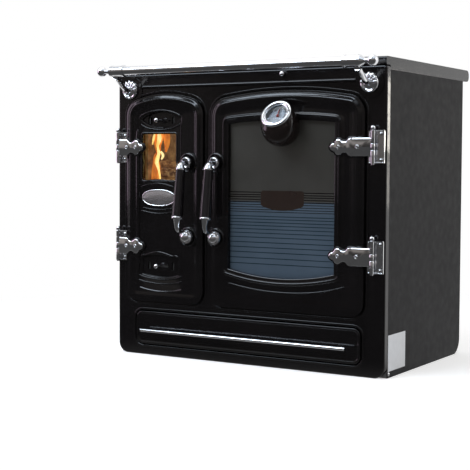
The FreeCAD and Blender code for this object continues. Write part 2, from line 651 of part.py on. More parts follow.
back_sheet = block("back_sheet", ("(%s + sheet_wall)" % LEFT, "(%s - sheet_wall)" % RIGHT),
                   ("body_depth - back_inset - sheet_wall", "body_depth - back_inset"),
                   ("back_foot", SKIRT_LOW))
back_notch = block("back_notch", ("(flue_x - flue_opening)", "(flue_x + flue_opening)"),
                   ("body_depth - back_inset - 2 * sheet_wall", "body_depth - back_inset + 1"),
                   ("(flue_z - flue_opening)", "(%s + 1)" % SKIRT_LOW))
flue_cover = block("flue_cover", ("(flue_x - flue_opening - flue_lap)",
                                  "(flue_x + flue_opening + flue_lap)"),
                   ("body_depth - back_inset", "body_depth - back_inset + sheet_wall"),
                   ("(flue_z - flue_opening - flue_lap)", SKIRT_LOW))
cover_hole = rod("cover_hole", "flue_radius + 2", "3 * sheet_wall", "flue_x",
                 "body_depth - back_inset - sheet_wall", "flue_z", "back")
node(group("back", [cut("back_plate", back_sheet, [back_notch]),
                    cut("flue_plate", flue_cover, [cover_hole])]), "back_panel")

base_outer = block("base_outer", ("(%s + sheet_wall)" % LEFT, "(%s - sheet_wall)" % RIGHT),
                   ("front_flange", "base_rear"), ("0", "base_lip"))
base_inner = block("base_inner", ("(%s + sheet_wall + base_sheet)" % LEFT,
                                  "(%s - sheet_wall - base_sheet)" % RIGHT),
                   ("front_flange + base_sheet", "base_rear - base_sheet"),
                   ("base_sheet", "base_lip + 1"))
node(cut("base", base_outer, [base_inner]), "base_plate")


# ---- hob ----

PLATE_FRONT = "(hob_border + 10)"


def hob_frame():
    body = new_body("hob")
    slab = plan_sketch(body, "hob_slab", FRONT_TOP)
    draw_rectangle(slab, LEFT, RIGHT, at_depth("(-hob_front_overhang)"),
                   at_depth("(body_depth + hob_rear_overhang)"))
    pad(body, slab, "hob_lip")
    skirt = plan_sketch(body, "hob_side_skirts", SKIRT_LOW)
    for edges in ((LEFT, "(%s + flange_wall)" % LEFT), ("(%s - flange_wall)" % RIGHT, RIGHT)):
        draw_rectangle(skirt, edges[0], edges[1], at_depth("front_flange"),
                       at_depth("(body_depth + hob_rear_overhang)"))
    pad(body, skirt, "hob_skirt - hob_lip")
    rear_skirt = plan_sketch(body, "hob_rear_skirt", SKIRT_LOW)
    draw_rectangle(rear_skirt, "(%s + flange_wall / 2)" % LEFT, "(%s - flange_wall / 2)" % RIGHT,
                   at_depth("(body_depth - back_inset - sheet_wall)"),
                   at_depth("(body_depth + hob_rear_overhang)"))
    pad(body, rear_skirt, "hob_skirt - hob_lip")
    ledge = plan_sketch(body, "hob_ledge_outline", "body_height")
    draw_rounded(ledge, "(%s + hob_border)" % LEFT, "(%s - hob_border)" % RIGHT,
                 at_depth(PLATE_FRONT), at_depth("plate_rear"), "plate_corner")
    pocket(body, ledge, "plate_thick")
    hole = plan_sketch(body, "hob_hole_outline", "body_height")
    draw_rounded(hole, "(%s + hob_border + hob_ledge)" % LEFT,
                 "(%s - hob_border - hob_ledge)" % RIGHT,
                 at_depth("(%s + hob_ledge)" % PLATE_FRONT), at_depth("(plate_rear - hob_ledge)"),
                 "plate_corner")
    pocket(body, hole, "hob_lip")
    rear = value(at_depth("(body_depth + hob_rear_overhang)"))
    round_edges(body, "hob_nose", lambda edge: edge_in_plane(edge, "y", rear)
                and edge.BoundBox.XLength > value("body_width") / 2)
    front = value(at_depth("(-hob_front_overhang)"))
    round_edges(body, "hob_edge_round", lambda edge: edge_in_plane(edge, "y", front)
                and edge.BoundBox.XLength > value("body_width") / 2)
    return body


node(hob_frame(), "hob_frame")

LID_HOLE = "(lid_radius - lid_ledge)"


def hob_plate():
    body = new_body("plate")
    outline = plan_sketch(body, "plate_outline", "(body_height - plate_thick)")
    draw_rounded(outline, "(%s + hob_border + fit_gap)" % LEFT, "(%s - hob_border - fit_gap)" % RIGHT,
                 at_depth("(%s + fit_gap)" % PLATE_FRONT), at_depth("(plate_rear - fit_gap)"),
                 "(plate_corner - fit_gap)")
    pad(body, outline, "plate_thick")
    seat = plan_sketch(body, "lid_seat", "body_height")
    draw_circle(seat, "lid_x", at_depth("lid_depth"), "lid_radius")
    pocket(body, seat, "lid_step")
    hole = plan_sketch(body, "lid_hole", "body_height")
    draw_circle(hole, "lid_x", at_depth("lid_depth"), LID_HOLE)
    pocket(body, hole, "plate_thick")
    return body


node(hob_plate(), "hob_plate")

lid_top = rod("lid_top", "lid_radius - fit_gap", "lid_step - fit_gap", "lid_x", "lid_depth",
              "body_height - lid_step + fit_gap", "up")
lid_plug = rod("lid_plug", "%s - fit_gap" % LID_HOLE, "plate_thick - lid_step", "lid_x", "lid_depth",
               "body_height - plate_thick + fit_gap", "up")
lift_slot = block("lid_lift_slot", ("lid_x + 30", "lid_x + 62"), ("lid_depth - 6", "lid_depth + 6"),
                  ("body_height - 5", "body_height + 1"))
node(cut("lid", fuse("lid_disc", [lid_top, lid_plug]), [lift_slot]), "hob_lid")


# ---- doors: what both have in common ----

def strap_pad(body, name, hinge, reach, way, level):
    """The raised pad under a strap hinge, in the door's full thickness."""
    drawing = front_sketch(body, name, DOOR_BACK)
    near = "(%s + %d * (hinge_reach + rim_round + 2))" % (hinge, way)
    far = "(%s + %d * (%s - lobe_from_tip))" % (hinge, way, reach)
    left, right = (near, far) if way > 0 else (far, near)
    draw_rectangle(drawing, left, right, "(%s - strap_width / 2 - strap_pad)" % level,
                   "(%s + strap_width / 2 + strap_pad)" % level)
    pad(body, drawing, "%s + door_face + rim_rise" % DOOR_BACK)
    tip = front_sketch(body, name + "_tip", DOOR_BACK)
    draw_circle(tip, far, level, "lobe_radius")
    pad(body, tip, "%s + door_face + rim_rise" % DOOR_BACK)


def door_casting(name, left, right, arch, handle, hinge, strap, way, cutouts):
    """A cast door: plate, rolled rim, hinge pads, handle bosses and a groove for the rope."""
    body = new_body(name)
    plate = front_sketch(body, name + "_plate", DOOR_BACK)
    draw_door(plate, left, right, arch)
    pad(body, plate, "%s + door_face" % DOOR_BACK)
    rim = front_sketch(body, name + "_rim", FACE)
    draw_door(rim, left, right, arch)
    draw_door(rim, left, right, arch, "rim_width")
    pad(body, rim, "rim_rise")
    front = value(at_depth(RIM))
    round_edges(body, "rim_round", lambda edge: edge_in_plane(edge, "y", front))
    cutouts(body)
    for index, level in enumerate(HINGE_LEVELS):
        strap_pad(body, "%s_strap_pad_%d" % (name, index), hinge, strap, way, level)
    bosses = front_sketch(body, name + "_bosses", FACE)
    for level in ("handle_top", "handle_low"):
        draw_circle(bosses, handle, level, "boss_radius")
    pad(body, bosses, "boss_rise + rim_rise / 2")
    cups = front_sketch(body, name + "_boss_cups", "(-door_face - boss_rise - rim_rise)")
    for level in ("handle_top", "handle_low"):
        draw_circle(cups, handle, level, "boss_bore")
    pocket(body, cups, "boss_rise + rim_rise")
    groove = front_sketch(body, name + "_rope_groove", "(%s - seal_groove)" % DOOR_BACK)
    draw_door(groove, left, right, arch, "seal_inset")
    draw_door(groove, left, right, arch, "(seal_inset + seal_width)")
    pocket(body, groove, "seal_groove")
    bore = front_sketch(body, name + "_spindle_bore", FACE)
    draw_circle(bore, handle, "handle_top", "(spindle + spindle_fit)")
    pocket(body, bore, "%s + door_face" % DOOR_BACK)
    return body


def rope_seal(name, left, right, arch):
    """The rope that lies in a door's groove."""
    body = new_body(name)
    ring = front_sketch(body, name + "_ring", "(recess_depth - seal_gap)")
    draw_door(ring, left, right, arch, "(seal_inset + 0.2)")
    draw_door(ring, left, right, arch, "(seal_inset + seal_width - 0.2)")
    pad(body, ring, "recess_depth - seal_gap - %s + seal_groove" % DOOR_BACK)
    return body


# ---- firebox door ----

FIELD = ("(%s + field_margin)" % FIRE_LEFT, "(%s - field_right)" % FIRE_RIGHT,
         "(door_bottom + field_low)", "(%s - field_high)" % DOOR_TOP)
FIELD_FACE = "(field_sink - door_face)"
VIEW = ("(view_centre - view_width / 2)", "(view_centre + view_width / 2)", "view_low", "view_high")
SLOT_SIDES = (-1, 1)


def slot_centre(side):
    """The middle of the air slot on one side of the knob."""
    return "(vent_centre + %d * slot_offset)" % side


def draw_vent_holes(drawing, level):
    """An upright air slot each side of the slot that the knob runs in."""
    draw_rectangle(drawing, "(vent_centre - knob_slot / 2)", "(vent_centre + knob_slot / 2)",
                   "(%s - knob_slot_height / 2)" % level, "(%s + knob_slot_height / 2)" % level)
    for side in SLOT_SIDES:
        middle = slot_centre(side)
        draw_rectangle(drawing, "(%s - slot_width / 2)" % middle, "(%s + slot_width / 2)" % middle,
                       "(%s - slot_height / 2)" % level, "(%s + slot_height / 2)" % level)


def fire_door_cutouts(body):
    field = front_sketch(body, "fire_field", FACE)
    draw_rounded(field, *FIELD, "throat_corner")
    pocket(body, field, "field_sink")
    lens = front_sketch(body, "fire_lens", FIELD_FACE)
    draw_lens(lens, "vent_centre", "lens_z", "lens_width", "lens_height")
    pocket(body, lens, "lens_sink")
    low = front_sketch(body, "fire_low_vent", FIELD_FACE)
    draw_rounded(low, "(vent_centre - air_low_width / 2)", "(vent_centre + air_low_width / 2)",
                 "(air_low_z - air_low_height / 2)", "(air_low_z + air_low_height / 2)",
                 "throat_corner")
    pocket(body, low, "lens_sink")
    holes = front_sketch(body, "fire_vent_holes", FACE)
    for level in ("lens_z", "air_low_z"):
        draw_vent_holes(holes, level)
    pocket(body, holes, "%s + door_face" % DOOR_BACK)
    view = front_sketch(body, "fire_view", FACE)
    draw_rounded(view, *VIEW, "5")
    pocket(body, view, "%s + door_face" % DOOR_BACK)


node(door_casting("fire_door", FIRE_LEFT, FIRE_RIGHT, "fire_door_arch", FIRE_HANDLE, FIRE_HINGE,
                  "fire_strap", 1, fire_door_cutouts), "firebox_door_casting")
node(rope_seal("fire_rope", FIRE_LEFT, FIRE_RIGHT, "fire_door_arch"), "firebox_door_seal")


def grown(box, margin):
    """A rectangle's four formulas, grown by a margin."""
    left, right, low, high = box
    return ("(%s - %s)" % (left, margin), "(%s + %s)" % (right, margin),
            "(%s - %s)" % (low, margin), "(%s + %s)" % (high, margin))


pane = grown(VIEW, "pane_lap")
PANE_BACK = "(%s + pane_thick)" % DOOR_BACK
node(block("fire_pane", pane[:2], (DOOR_BACK, PANE_BACK), pane[2:]), "firebox_door_glass")
frame = grown(VIEW, "pane_frame_lap")
frame_plate = block("fire_frame_plate", frame[:2], (PANE_BACK, "(%s + pane_frame)" % PANE_BACK),
                    frame[2:])
frame_hole = block("fire_frame_hole", VIEW[:2], (DOOR_BACK, "(%s + 9)" % PANE_BACK), VIEW[2:])
node(cut("fire_frame", frame_plate, [frame_hole]), "firebox_glass_frame")


def badge():
    """The bare oval plate between the window and the lower vent."""
    body = new_body("badge")
    oval = front_sketch(body, "badge_oval", FIELD_FACE)
    draw_lens(oval, "view_centre", "badge_z", "badge_width", "badge_height")
    pad(body, oval, "badge_thick")
    return body


node(badge(), "badge_plate")


def shutter(name, level):
    """A sliding air shutter on the back of the door, slotted like the door in front of it."""
    front = "(%s + fit_gap)" % DOOR_BACK
    plate = block(name + "_plate", ("(vent_centre - shutter_length / 2)",
                                    "(vent_centre + shutter_length / 2)"),
                  (front, "(%s + shutter_sheet)" % front),
                  ("(%s - shutter_height / 2)" % level, "(%s + shutter_height / 2)" % level))
    slots = []
    for side in SLOT_SIDES:
        middle = "(%s + slot_width)" % slot_centre(side)
        slots.append(block("%s_slot_%d" % (name, side + 1),
                           ("(%s - slot_width / 2)" % middle, "(%s + slot_width / 2)" % middle),
                           (DOOR_BACK, "(%s + 5)" % DOOR_BACK),
                           ("(%s - slot_height / 2)" % level, "(%s + slot_height / 2)" % level)))
    return cut(name, plate, slots)


def vent_knob(name, level):
    """A chrome ball on a thin stem that is riveted to the shutter."""
    x = "(vent_centre + vent_knob_shift)"
    seat = "(%s + fit_gap)" % DOOR_BACK
    reach = "(lens_sink + field_sink - door_face - vent_knob_reach)"
    stem = rod(name + "_stem", "vent_stem", "%s - %s" % (seat, reach), x, seat, level, "front")
    return fuse(name, [stem, ball(name + "_ball", "vent_knob_radius", x, reach, level)])


for prefix, level in (("upper", "lens_z"), ("lower", "air_low_z")):
    node(shutter(prefix + "_shutter_cut", level), prefix + "_vent_shutter")
    node(vent_knob(prefix + "_knob_solid", level), prefix + "_vent_knob")


# ---- oven door ----

def oven_door_cutouts(body):
    frame_ring = front_sketch(body, "window_frame", FACE)
    draw_bowed(frame_ring, "frame_width")
    pad(body, frame_ring, "frame_rise")
    front = value(at_depth("(-door_face - frame_rise)"))
    back = value(at_depth(FACE))
    round_edges(body, "frame_width", lambda edge: abs(edge.BoundBox.YMin - front) < 1e-3
                and abs(edge.BoundBox.YMax - back) < 1e-3 and edge.BoundBox.XLength < 1e-3)
    round_edges(body, "frame_rise - 1", lambda edge: edge_in_plane(edge, "y", front))
    window = front_sketch(body, "window", "(-door_face - frame_rise)")
    draw_bowed(window)
    pocket(body, window, "%s + door_face + frame_rise" % DOOR_BACK)


node(door_casting("oven_door", OVEN_LEFT, OVEN_RIGHT, "oven_door_arch", OVEN_HANDLE, OVEN_HINGE,
                  "oven_strap", -1, oven_door_cutouts), "oven_door_casting")
node(rope_seal("oven_rope", OVEN_LEFT, OVEN_RIGHT, "oven_door_arch"), "oven_door_seal")

WINDOW_LOW = "(window_side_low - 20)"
WINDOW_HIGH = "(window_side_high + window_peak)"
window_box = (WINDOW_LEFT, WINDOW_RIGHT, WINDOW_LOW, WINDOW_HIGH)
glass = grown(window_box, "pane_lap")[:3] + ("(%s + top_lap)" % WINDOW_HIGH,)
INNER_PANE = "(%s + inner_pane_gap)" % PANE_BACK
node(block("oven_pane", glass[:2], (DOOR_BACK, PANE_BACK), glass[2:]), "oven_door_glass")
node(block("oven_inner_pane", glass[:2], (INNER_PANE, "(%s + pane_thick)" % INNER_PANE),
           glass[2:]), "oven_inner_glass")
spacer_plate = block("spacer_plate", glass[:2], (PANE_BACK, INNER_PANE), glass[2:])
spacer_hole = block("spacer_hole", window_box[:2], (DOOR_BACK, "(%s + 9)" % INNER_PANE),
                    window_box[2:])
node(cut("spacer", spacer_plate, [spacer_hole]), "oven_glass_frame")


# ---- thermometer: a bowl on the oven door whose dial looks up and forward ----

def tilted(turn_depth, turn_level):
    """A point on the dial's axis, moved along the dial's normal and up its face."""
    tilt = math.radians(value("meter_tilt"))
    centre = Vector(value("meter_x"), value(at_depth("(-meter_out)")), value("meter_z"))
    normal = Vector(0, -math.cos(tilt), math.sin(tilt))
    upward = Vector(0, math.sin(tilt), math.cos(tilt))
    return centre + normal * turn_depth + upward * turn_level


DIAL_NORMAL = tilted(1, 0) - tilted(0, 0)
DIAL_UP = tilted(0, 1) - tilted(0, 0)


def disc(radius, low, high):
    """A disc about the dial's axis between two heights over the bezel's seat."""
    return Part.makeCylinder(radius, high - low, tilted(low, 0), DIAL_NORMAL)


dial_face = -value("dial_sink")
bezel_top = value("bezel_height")
bezel_radius = value("bezel_radius")
dial_radius = value("dial_radius")
cavity_radius = dial_radius + 5

bowl = Part.makeSphere(value("bowl_radius"),
                       Vector(value("meter_x"), value(at_depth("(-bowl_out)")), value("bowl_z")))
neck = disc(bezel_radius - 2, -value("bowl_radius"), 0)
wide = 8 * value("bowl_radius")
behind = Part.makeBox(wide, wide, wide, Vector(value("meter_x") - wide / 2,
                                               value(at_depth("(-door_face - frame_rise)")),
                                               value("meter_z") - wide / 2))
above = disc(4 * bezel_radius, 0, 4 * bezel_radius)
housing = bowl.fuse(neck).cut(above).cut(behind)
housing = housing.cut(disc(cavity_radius, dial_face - value("dial_thick"), bezel_top))
node(formed("meter_housing", housing.removeSplitter()), "thermometer_housing")

ring = disc(bezel_radius, 0, bezel_top)
outer_edges = [edge for edge in ring.Edges if edge_in_plane(edge, "x", 0) is False
               and edge.Curve.TypeId == "Part::GeomCircle"
               and (edge.Curve.Center - tilted(bezel_top, 0)).Length < 1e-3]
ring = ring.makeFillet(0.8 * bezel_top, outer_edges).cut(disc(dial_radius, -1, bezel_top + 1))
node(formed("meter_bezel", ring), "thermometer_bezel")
node(formed("meter_dial", disc(cavity_radius - value("fit_gap"), dial_face - value("dial_thick"),
                               dial_face)), "thermometer_dial")
node(formed("meter_lens", disc(cavity_radius - value("fit_gap"), -value("lens_thick"), 0)),
     "thermometer_lens")

needle_low, needle_high = dial_face + 2, dial_face + 3
needle_hub = disc(4, dial_face + 0.3, needle_high)
needle_arm = Part.makeBox(2.4, value("needle_length"), needle_high - needle_low)
needle_arm.translate(Vector(-1.2, 0, 0))
needle_arm.Placement = Placement(tilted(needle_low, 0), Rotation(
    Vector(1, 0, 0), DIAL_UP, DIAL_NORMAL, "XYZ")).multiply(needle_arm.Placement)
node(formed("meter_needle", needle_hub.fuse(needle_arm)), "thermometer_needle")


# ---- hinges ----

def strap(name, hinge, reach, way, level):
    """A strap with a knuckle at one end and a pointed three-lobed tip at the other."""
    out = "(-door_face - rim_rise - strap_thick)"
    back = "(-door_face - rim_rise)"
    lobes_x = "(%s + %d * (%s - lobe_from_tip))" % (hinge, way, reach)
    neck_x = "(%s - %d * (lobe_radius + 6))" % (lobes_x, way)
    low, high = "(%s - strap_width / 2)" % level, "(%s + strap_width / 2)" % level

    def span(start, end):
        return (start, end) if way > 0 else (end, start)

    plate = block(name + "_plate", span(hinge, neck_x), (out, back), (low, high))
    neck_bar = block(name + "_neck", span(neck_x, lobes_x), (out, back),
                     ("(%s - neck_width / 2)" % level, "(%s + neck_width / 2)" % level))
    lobes = [rod("%s_lobe_%d" % (name, sign + 1), "lobe_radius", "strap_thick", lobes_x, out,
                 "(%s + %d * lobe_spread / 2)" % (level, sign), "back") for sign in (-1, 1)]
    tip = rod(name + "_tip", "tip_radius", "strap_thick",
              "(%s + %d * (%s - tip_radius))" % (hinge, way, reach), out, level, "back")
    knuckle = rod(name + "_knuckle", "knuckle_radius", "strap_width", hinge, "(-hinge_out)", low,
                  "up")
    bore = rod(name + "_bore", "pin_radius + pin_fit", "strap_width + 2", hinge, "(-hinge_out)",
               "(%s - 1)" % low, "up")
    return cut(name, fuse(name + "_solid", [plate, neck_bar, tip, knuckle] + lobes), [bore])


def leaf(name, hinge, inward, outward, way, level):
    """The fixed leaf on the front, with a knuckle above and one below the strap's."""
    near, far = "(%s + %d * %s)" % (hinge, way, inward), "(%s - %d * %s)" % (hinge, way, outward)
    span = (far, near) if way > 0 else (near, far)
    low, high = "(%s - leaf_height / 2)" % level, "(%s + leaf_height / 2)" % level
    face = "(-leaf_seat - leaf_thick)"
    plate = block(name + "_plate", span, (face, "(-leaf_seat)"), (low, high))
    inner_low = "(%s - strap_width / 2 - knuckle_gap)" % level
    inner_high = "(%s + strap_width / 2 + knuckle_gap)" % level
    pieces, bores = [plate], []
    for end, (start, stop) in enumerate(((low, inner_low), (inner_high, high))):
        pieces.append(rod("%s_knuckle_%d" % (name, end), "knuckle_radius",
                          "%s - %s" % (stop, start), hinge, "(-hinge_out)", start, "up"))
        pieces.append(block("%s_web_%d" % (name, end), ("%s - 4" % hinge, "%s + 4" % hinge),
                            ("(-hinge_out)", face), (start, stop)))
    bores.append(rod(name + "_bore", "pin_radius + pin_fit", "leaf_height + 2", hinge,
                     "(-hinge_out)", "(%s - 1)" % low, "up"))
    return cut(name, fuse(name + "_solid", pieces), bores)


def pin(name, hinge, level):
    """A hinge pin with a ball on top and a small button below."""
    low = "(%s - leaf_height / 2)" % level
    shaft = rod(name + "_shaft", "pin_radius", "leaf_height + pin_ball + 1", hinge,
                "(-hinge_out)", "(%s - 1)" % low, "up")
    head = ball(name + "_ball", "pin_ball", hinge, "(-hinge_out)",
                "(%s + leaf_height / 2 + pin_ball)" % level)
    flat = block(name + "_flat", ("%s - 2 * pin_ball" % hinge, "%s + 2 * pin_ball" % hinge),
                 ("(-hinge_out - 2 * pin_ball)", "(-hinge_out + 2 * pin_ball)"),
                 ("(%s - leaf_height)" % level, "(%s + leaf_height / 2 + 0.1)" % level))
    button = rod(name + "_button", "pin_radius + 1.5", "3", hinge, "(-hinge_out)",
                 "(%s - 3.1)" % low, "up")
    return fuse(name, [cut(name + "_head", head, [flat]), shaft, button])


HINGES = (("fire", FIRE_HINGE, 1), ("oven", OVEN_HINGE, -1))
leaves = [leaf("%s_leaf_%d" % (side, index), hinge, side + "_leaf_in", side + "_leaf_out", way, level)
          for side, hinge, way in HINGES for index, level in enumerate(HINGE_LEVELS)]
node(group("hinge_leaf_group", leaves), "hinge_leaves")
pins = [pin("%s_pin_%d" % (side, index), hinge, level)
        for side, hinge, way in HINGES for index, level in enumerate(HINGE_LEVELS)]
node(group("hinge_pin_group", pins), "hinge_pins")
for side, hinge, way in HINGES:
    straps = [strap("%s_strap_%d" % (side, index), hinge, side + "_strap", way, level)
              for index, level in enumerate(HINGE_LEVELS)]
    label = {"fire": "firebox_door_straps", "oven": "oven_door_straps"}[side]
    node(group(side + "_strap_group", straps), label)


def screw(name, x, depth, level):
    """A round-headed screw, drawn as its head alone, seated on a face."""
    return dome(name, "screw_head", "screw_dome", x, depth, level)


STRAP_FACE = "(-door_face - rim_rise - strap_thick)"


def strap_screws(side, hinge, way):
    heads = []
    for index, level in enumerate(HINGE_LEVELS):
        tip_x = "(%s + %d * (%s_strap - lobe_from_tip))" % (hinge, way, side)
        root_x = "(%s + %d * %s_strap * 0.35)" % (hinge, way, side)
        for end, x in enumerate((tip_x, root_x)):
            heads.append(screw("%s_screw_%d_%d" % (side, index, end), x, STRAP_FACE, level))
    return heads


node(group("fire_screw_group", strap_screws("fire", FIRE_HINGE, 1)), "firebox_strap_screws")
node(group("oven_screw_group", strap_screws("oven", OVEN_HINGE, -1)), "oven_strap_screws")

LEAF_SCREWS = []
for side, hinge, way in HINGES:
    x = "(%s + %d * (%s_leaf_in - 7))" % (hinge, way, side) if side == "fire" else \
        "(%s + oven_leaf_out - 9)" % hinge
    for index, level in enumerate(HINGE_LEVELS):
        for end, sign in enumerate((-1, 1)):
            LEAF_SCREWS.append(screw("%s_leaf_screw_%d_%d" % (side, index, end), x, "(-leaf_seat - leaf_thick)",
                                     "(%s + %d * (leaf_height / 2 - 9))" % (level, sign)))


def panel_screw(name, side, way):
    """A screw head on the outside of a side sheet, near its lower front corner."""
    sphere = "(screw_head ^ 2 + screw_dome ^ 2) / (2 * screw_dome)"
    cap = ball(name + "_ball", sphere, "(%s + %d * (screw_dome - %s))" % (side, way, sphere),
               "panel_screw_depth", "panel_screw_z")
    start = side if way > 0 else "(%s - screw_dome)" % side
    keep = rod(name + "_keep", "screw_head", "screw_dome", start, "panel_screw_depth",
               "panel_screw_z", "x")
    return common(name, cap, keep)


PANEL_SCREWS = [panel_screw("panel_screw_left", LEFT, -1), panel_screw("panel_screw_right", RIGHT, 1)]
node(group("casing_screw_group", LEAF_SCREWS + PANEL_SCREWS), "casing_screws")


# ---- handles ----

def bent_rod(points, radius):
    """A round bar along straight runs that are joined by tangent bends."""
    pieces = []
    here = points[0]
    for before, corner, after in zip(points, points[1:], points[2:]):
        into = (corner - before).normalize()
        onward = (after - corner).normalize()
        turn = into.getAngle(onward)
        reach = 0.45 * min((corner - before).Length, (after - corner).Length)
        bend = reach / math.tan(turn / 2)
        start = corner - into * reach
        centre = corner + (onward - into).normalize() * math.hypot(bend, reach)
        pieces.append(Part.makeCylinder(radius, (start - here).Length, here, into))
        section = Part.Face(Part.Wire(Part.makeCircle(radius, start, into)))
        pieces.append(section.revolve(centre, into.cross(onward), math.degrees(turn)))
        here = corner + onward * reach
    pieces.append(Part.makeCylinder(radius, (points[-1] - here).Length, here, points[-1] - here))
    return pieces[0].fuse(pieces[1:])


def handle_point(x, out, level):
    return Vector(value(x), value(at_depth("(-%s)" % out)), value(level))


def handle_parts(x):
    """The grip and the chrome arms of a hanging lever handle."""
    top = handle_point(x, "grip_out_top", "grip_top")
    low = handle_point(x, "grip_out_low", "grip_low")
    along = (low - top).normalize()
    grip = Part.makeCone(value("grip_top_radius"), value("grip_low_radius"), (low - top).Length,
                         top, along)
    grip = grip.makeFillet(2, [edge for edge in grip.Edges
                               if edge.Curve.TypeId == "Part::GeomCircle"])
    gap = value("rest_gap")
    eye_back = "(door_face + boss_rise + rim_rise / 2 + rest_gap)"
    eye = Part.makeCylinder(value("eye_radius"), value("eye_length"),
                            handle_point(x, eye_back, "handle_top"), Vector(0, -1, 0))
    eye = eye.makeFillet(4, [edge for edge in eye.Edges if edge.Curve.TypeId == "Part::GeomCircle"])
    arm = Part.makeCylinder(value("arm_radius"),
                            value("grip_out_top - %s - eye_length / 2" % eye_back),
                            handle_point(x, "(%s + eye_length / 2)" % eye_back,
                                         "(handle_top - 2)"), Vector(0, -1, 0))
    cap = Part.makeSphere(value("cap_radius"), Vector(0, 0, 0), Vector(0, 0, 1), 0, 90, 360)
    cap.Placement = Placement(top, Rotation(Vector(0, 0, 1), -along))
    cap.rotate(top, along, 65)
    upper = eye.fuse(arm).fuse(cap).removeSplitter()
    ferrule = Part.makeCylinder(value("grip_low_radius") + 1, value("ferrule_height"), low, along)
    ferrule = ferrule.makeFillet(1.5, [edge for edge in ferrule.Edges
                                       if edge.Curve.TypeId == "Part::GeomCircle"])
    rod_radius = value("rod_radius")
    reach = value("ball_radius") + gap + rod_radius
    rest = handle_point(x, "ball_out", "handle_low")
    lean = math.radians(38)
    end = rest + Vector(0, -reach * math.cos(lean), reach * math.sin(lean))
    start = low + along * (value("ferrule_height") / 2)
    knee = start + along * 26
    tail = bent_rod([start, knee, end], rod_radius)
    tip = Part.makeSphere(rod_radius, end)
    lower = ferrule.fuse(tail).fuse(tip).removeSplitter()
    return grip, Part.makeCompound([upper, lower])


def latch(name, x, way, length):
    """The handle's spindle with a cam behind the door that points at the mullion."""
    front = "(-door_face - boss_rise - rim_rise / 2 - rest_gap)"
    shaft = rod(name + "_shaft", "spindle", "cam_depth - %s" % front, x, front, "handle_top",
                "back")
    cam_end = "(%s + %d * (spindle + %s))" % (x, way, length)
    span = (x, cam_end) if way > 0 else (cam_end, x)
    cam = block(name + "_cam", span, ("(cam_depth - cam_thick)", "cam_depth"),
                ("(handle_top - cam_width / 2)", "(handle_top + cam_width / 2)"))
    return fuse(name, [shaft, cam])


CAMS = (("fire", "firebox", FIRE_HANDLE, 1, "cam_length"),
        ("oven", "oven", OVEN_HANDLE, -1, "oven_cam_length"))
for side, label, x, way, length in CAMS:
    grip, arms = handle_parts(x)
    node(formed(side + "_grip", grip), label + "_handle_grip")
    node(formed(side + "_arms", arms), label + "_handle_arms")
    node(latch(side + "_latch", x, way, length), label + "_latch")
    base = "(-door_face)"
    rest_ball = ball(side + "_rest_ball", "ball_radius", x, "(-ball_out)", "handle_low")
    trim = block(side + "_rest_trim", ("%s - 40" % x, "%s + 40" % x), (base, "40"),
                 ("handle_low - 40", "handle_low + 40"))
    node(cut(side + "_rest", rest_ball, [trim]), label + "_handle_rest")

KEEPERS = []
for side, label, x, way, length in CAMS:
    near = "(%s + %d * (spindle + %s + 4))" % (x, way, length)
    far = "(%s + %d * (spindle + %s + 4 + keeper_width))" % (x, way, length)
    span = (near, far) if way > 0 else (far, near)
    KEEPERS.append(block(side + "_keeper", span, ("front_plate", "front_plate + keeper_size"),
                         ("handle_top - keeper_size", "handle_top + keeper_size")))
node(group("keeper_group", KEEPERS), "latch_keepers")


# ---- towel rail ----

node(rod("rail", "rail_radius", "2 * rail_half", "(-rail_half)", "(-rail_out)", "rail_z", "x"),
     "rail_tube")


def mirrored(shape):
    return shape.mirror(Vector(0, 0, 0), Vector(1, 0, 0))


def finial():
    """The right-hand end of the rail: a collar, a neck and a ball, bored for the tube."""
    out, level = value(at_depth("(-rail_out)")), value("rail_z")
    along = Vector(1, 0, 0)

    def turned(radius, start, end):
        return Part.makeCylinder(radius, end - start, Vector(start, out, level), along)

    start, end = value("sleeve_start"), value("sleeve_end")
    radius, neck_radius = value("sleeve_radius"), value("finial_neck")
    ball_x, ball_size = value("finial_x"), value("finial_ball")
    collar = turned(radius + 1.5, start, start + 6)
    barrel = turned(radius, start + 6, end)
    band = turned(radius + 1, end - 8, end - 3)
    taper = Part.makeCone(radius, neck_radius, 12, Vector(end, out, level), along)
    neck_bar = turned(neck_radius, end + 12, ball_x)
    knob = Part.makeSphere(ball_size, Vector(ball_x, out, level))
    bore = turned(value("rail_radius") + 0.1, start - 1, value("rail_half"))
    return collar.fuse([barrel, band, taper, neck_bar, knob]).cut(bore).removeSplitter()


right_finial = finial()
node(formed("rail_finials_solid", Part.makeCompound([right_finial, mirrored(right_finial)])),
     "rail_finials")


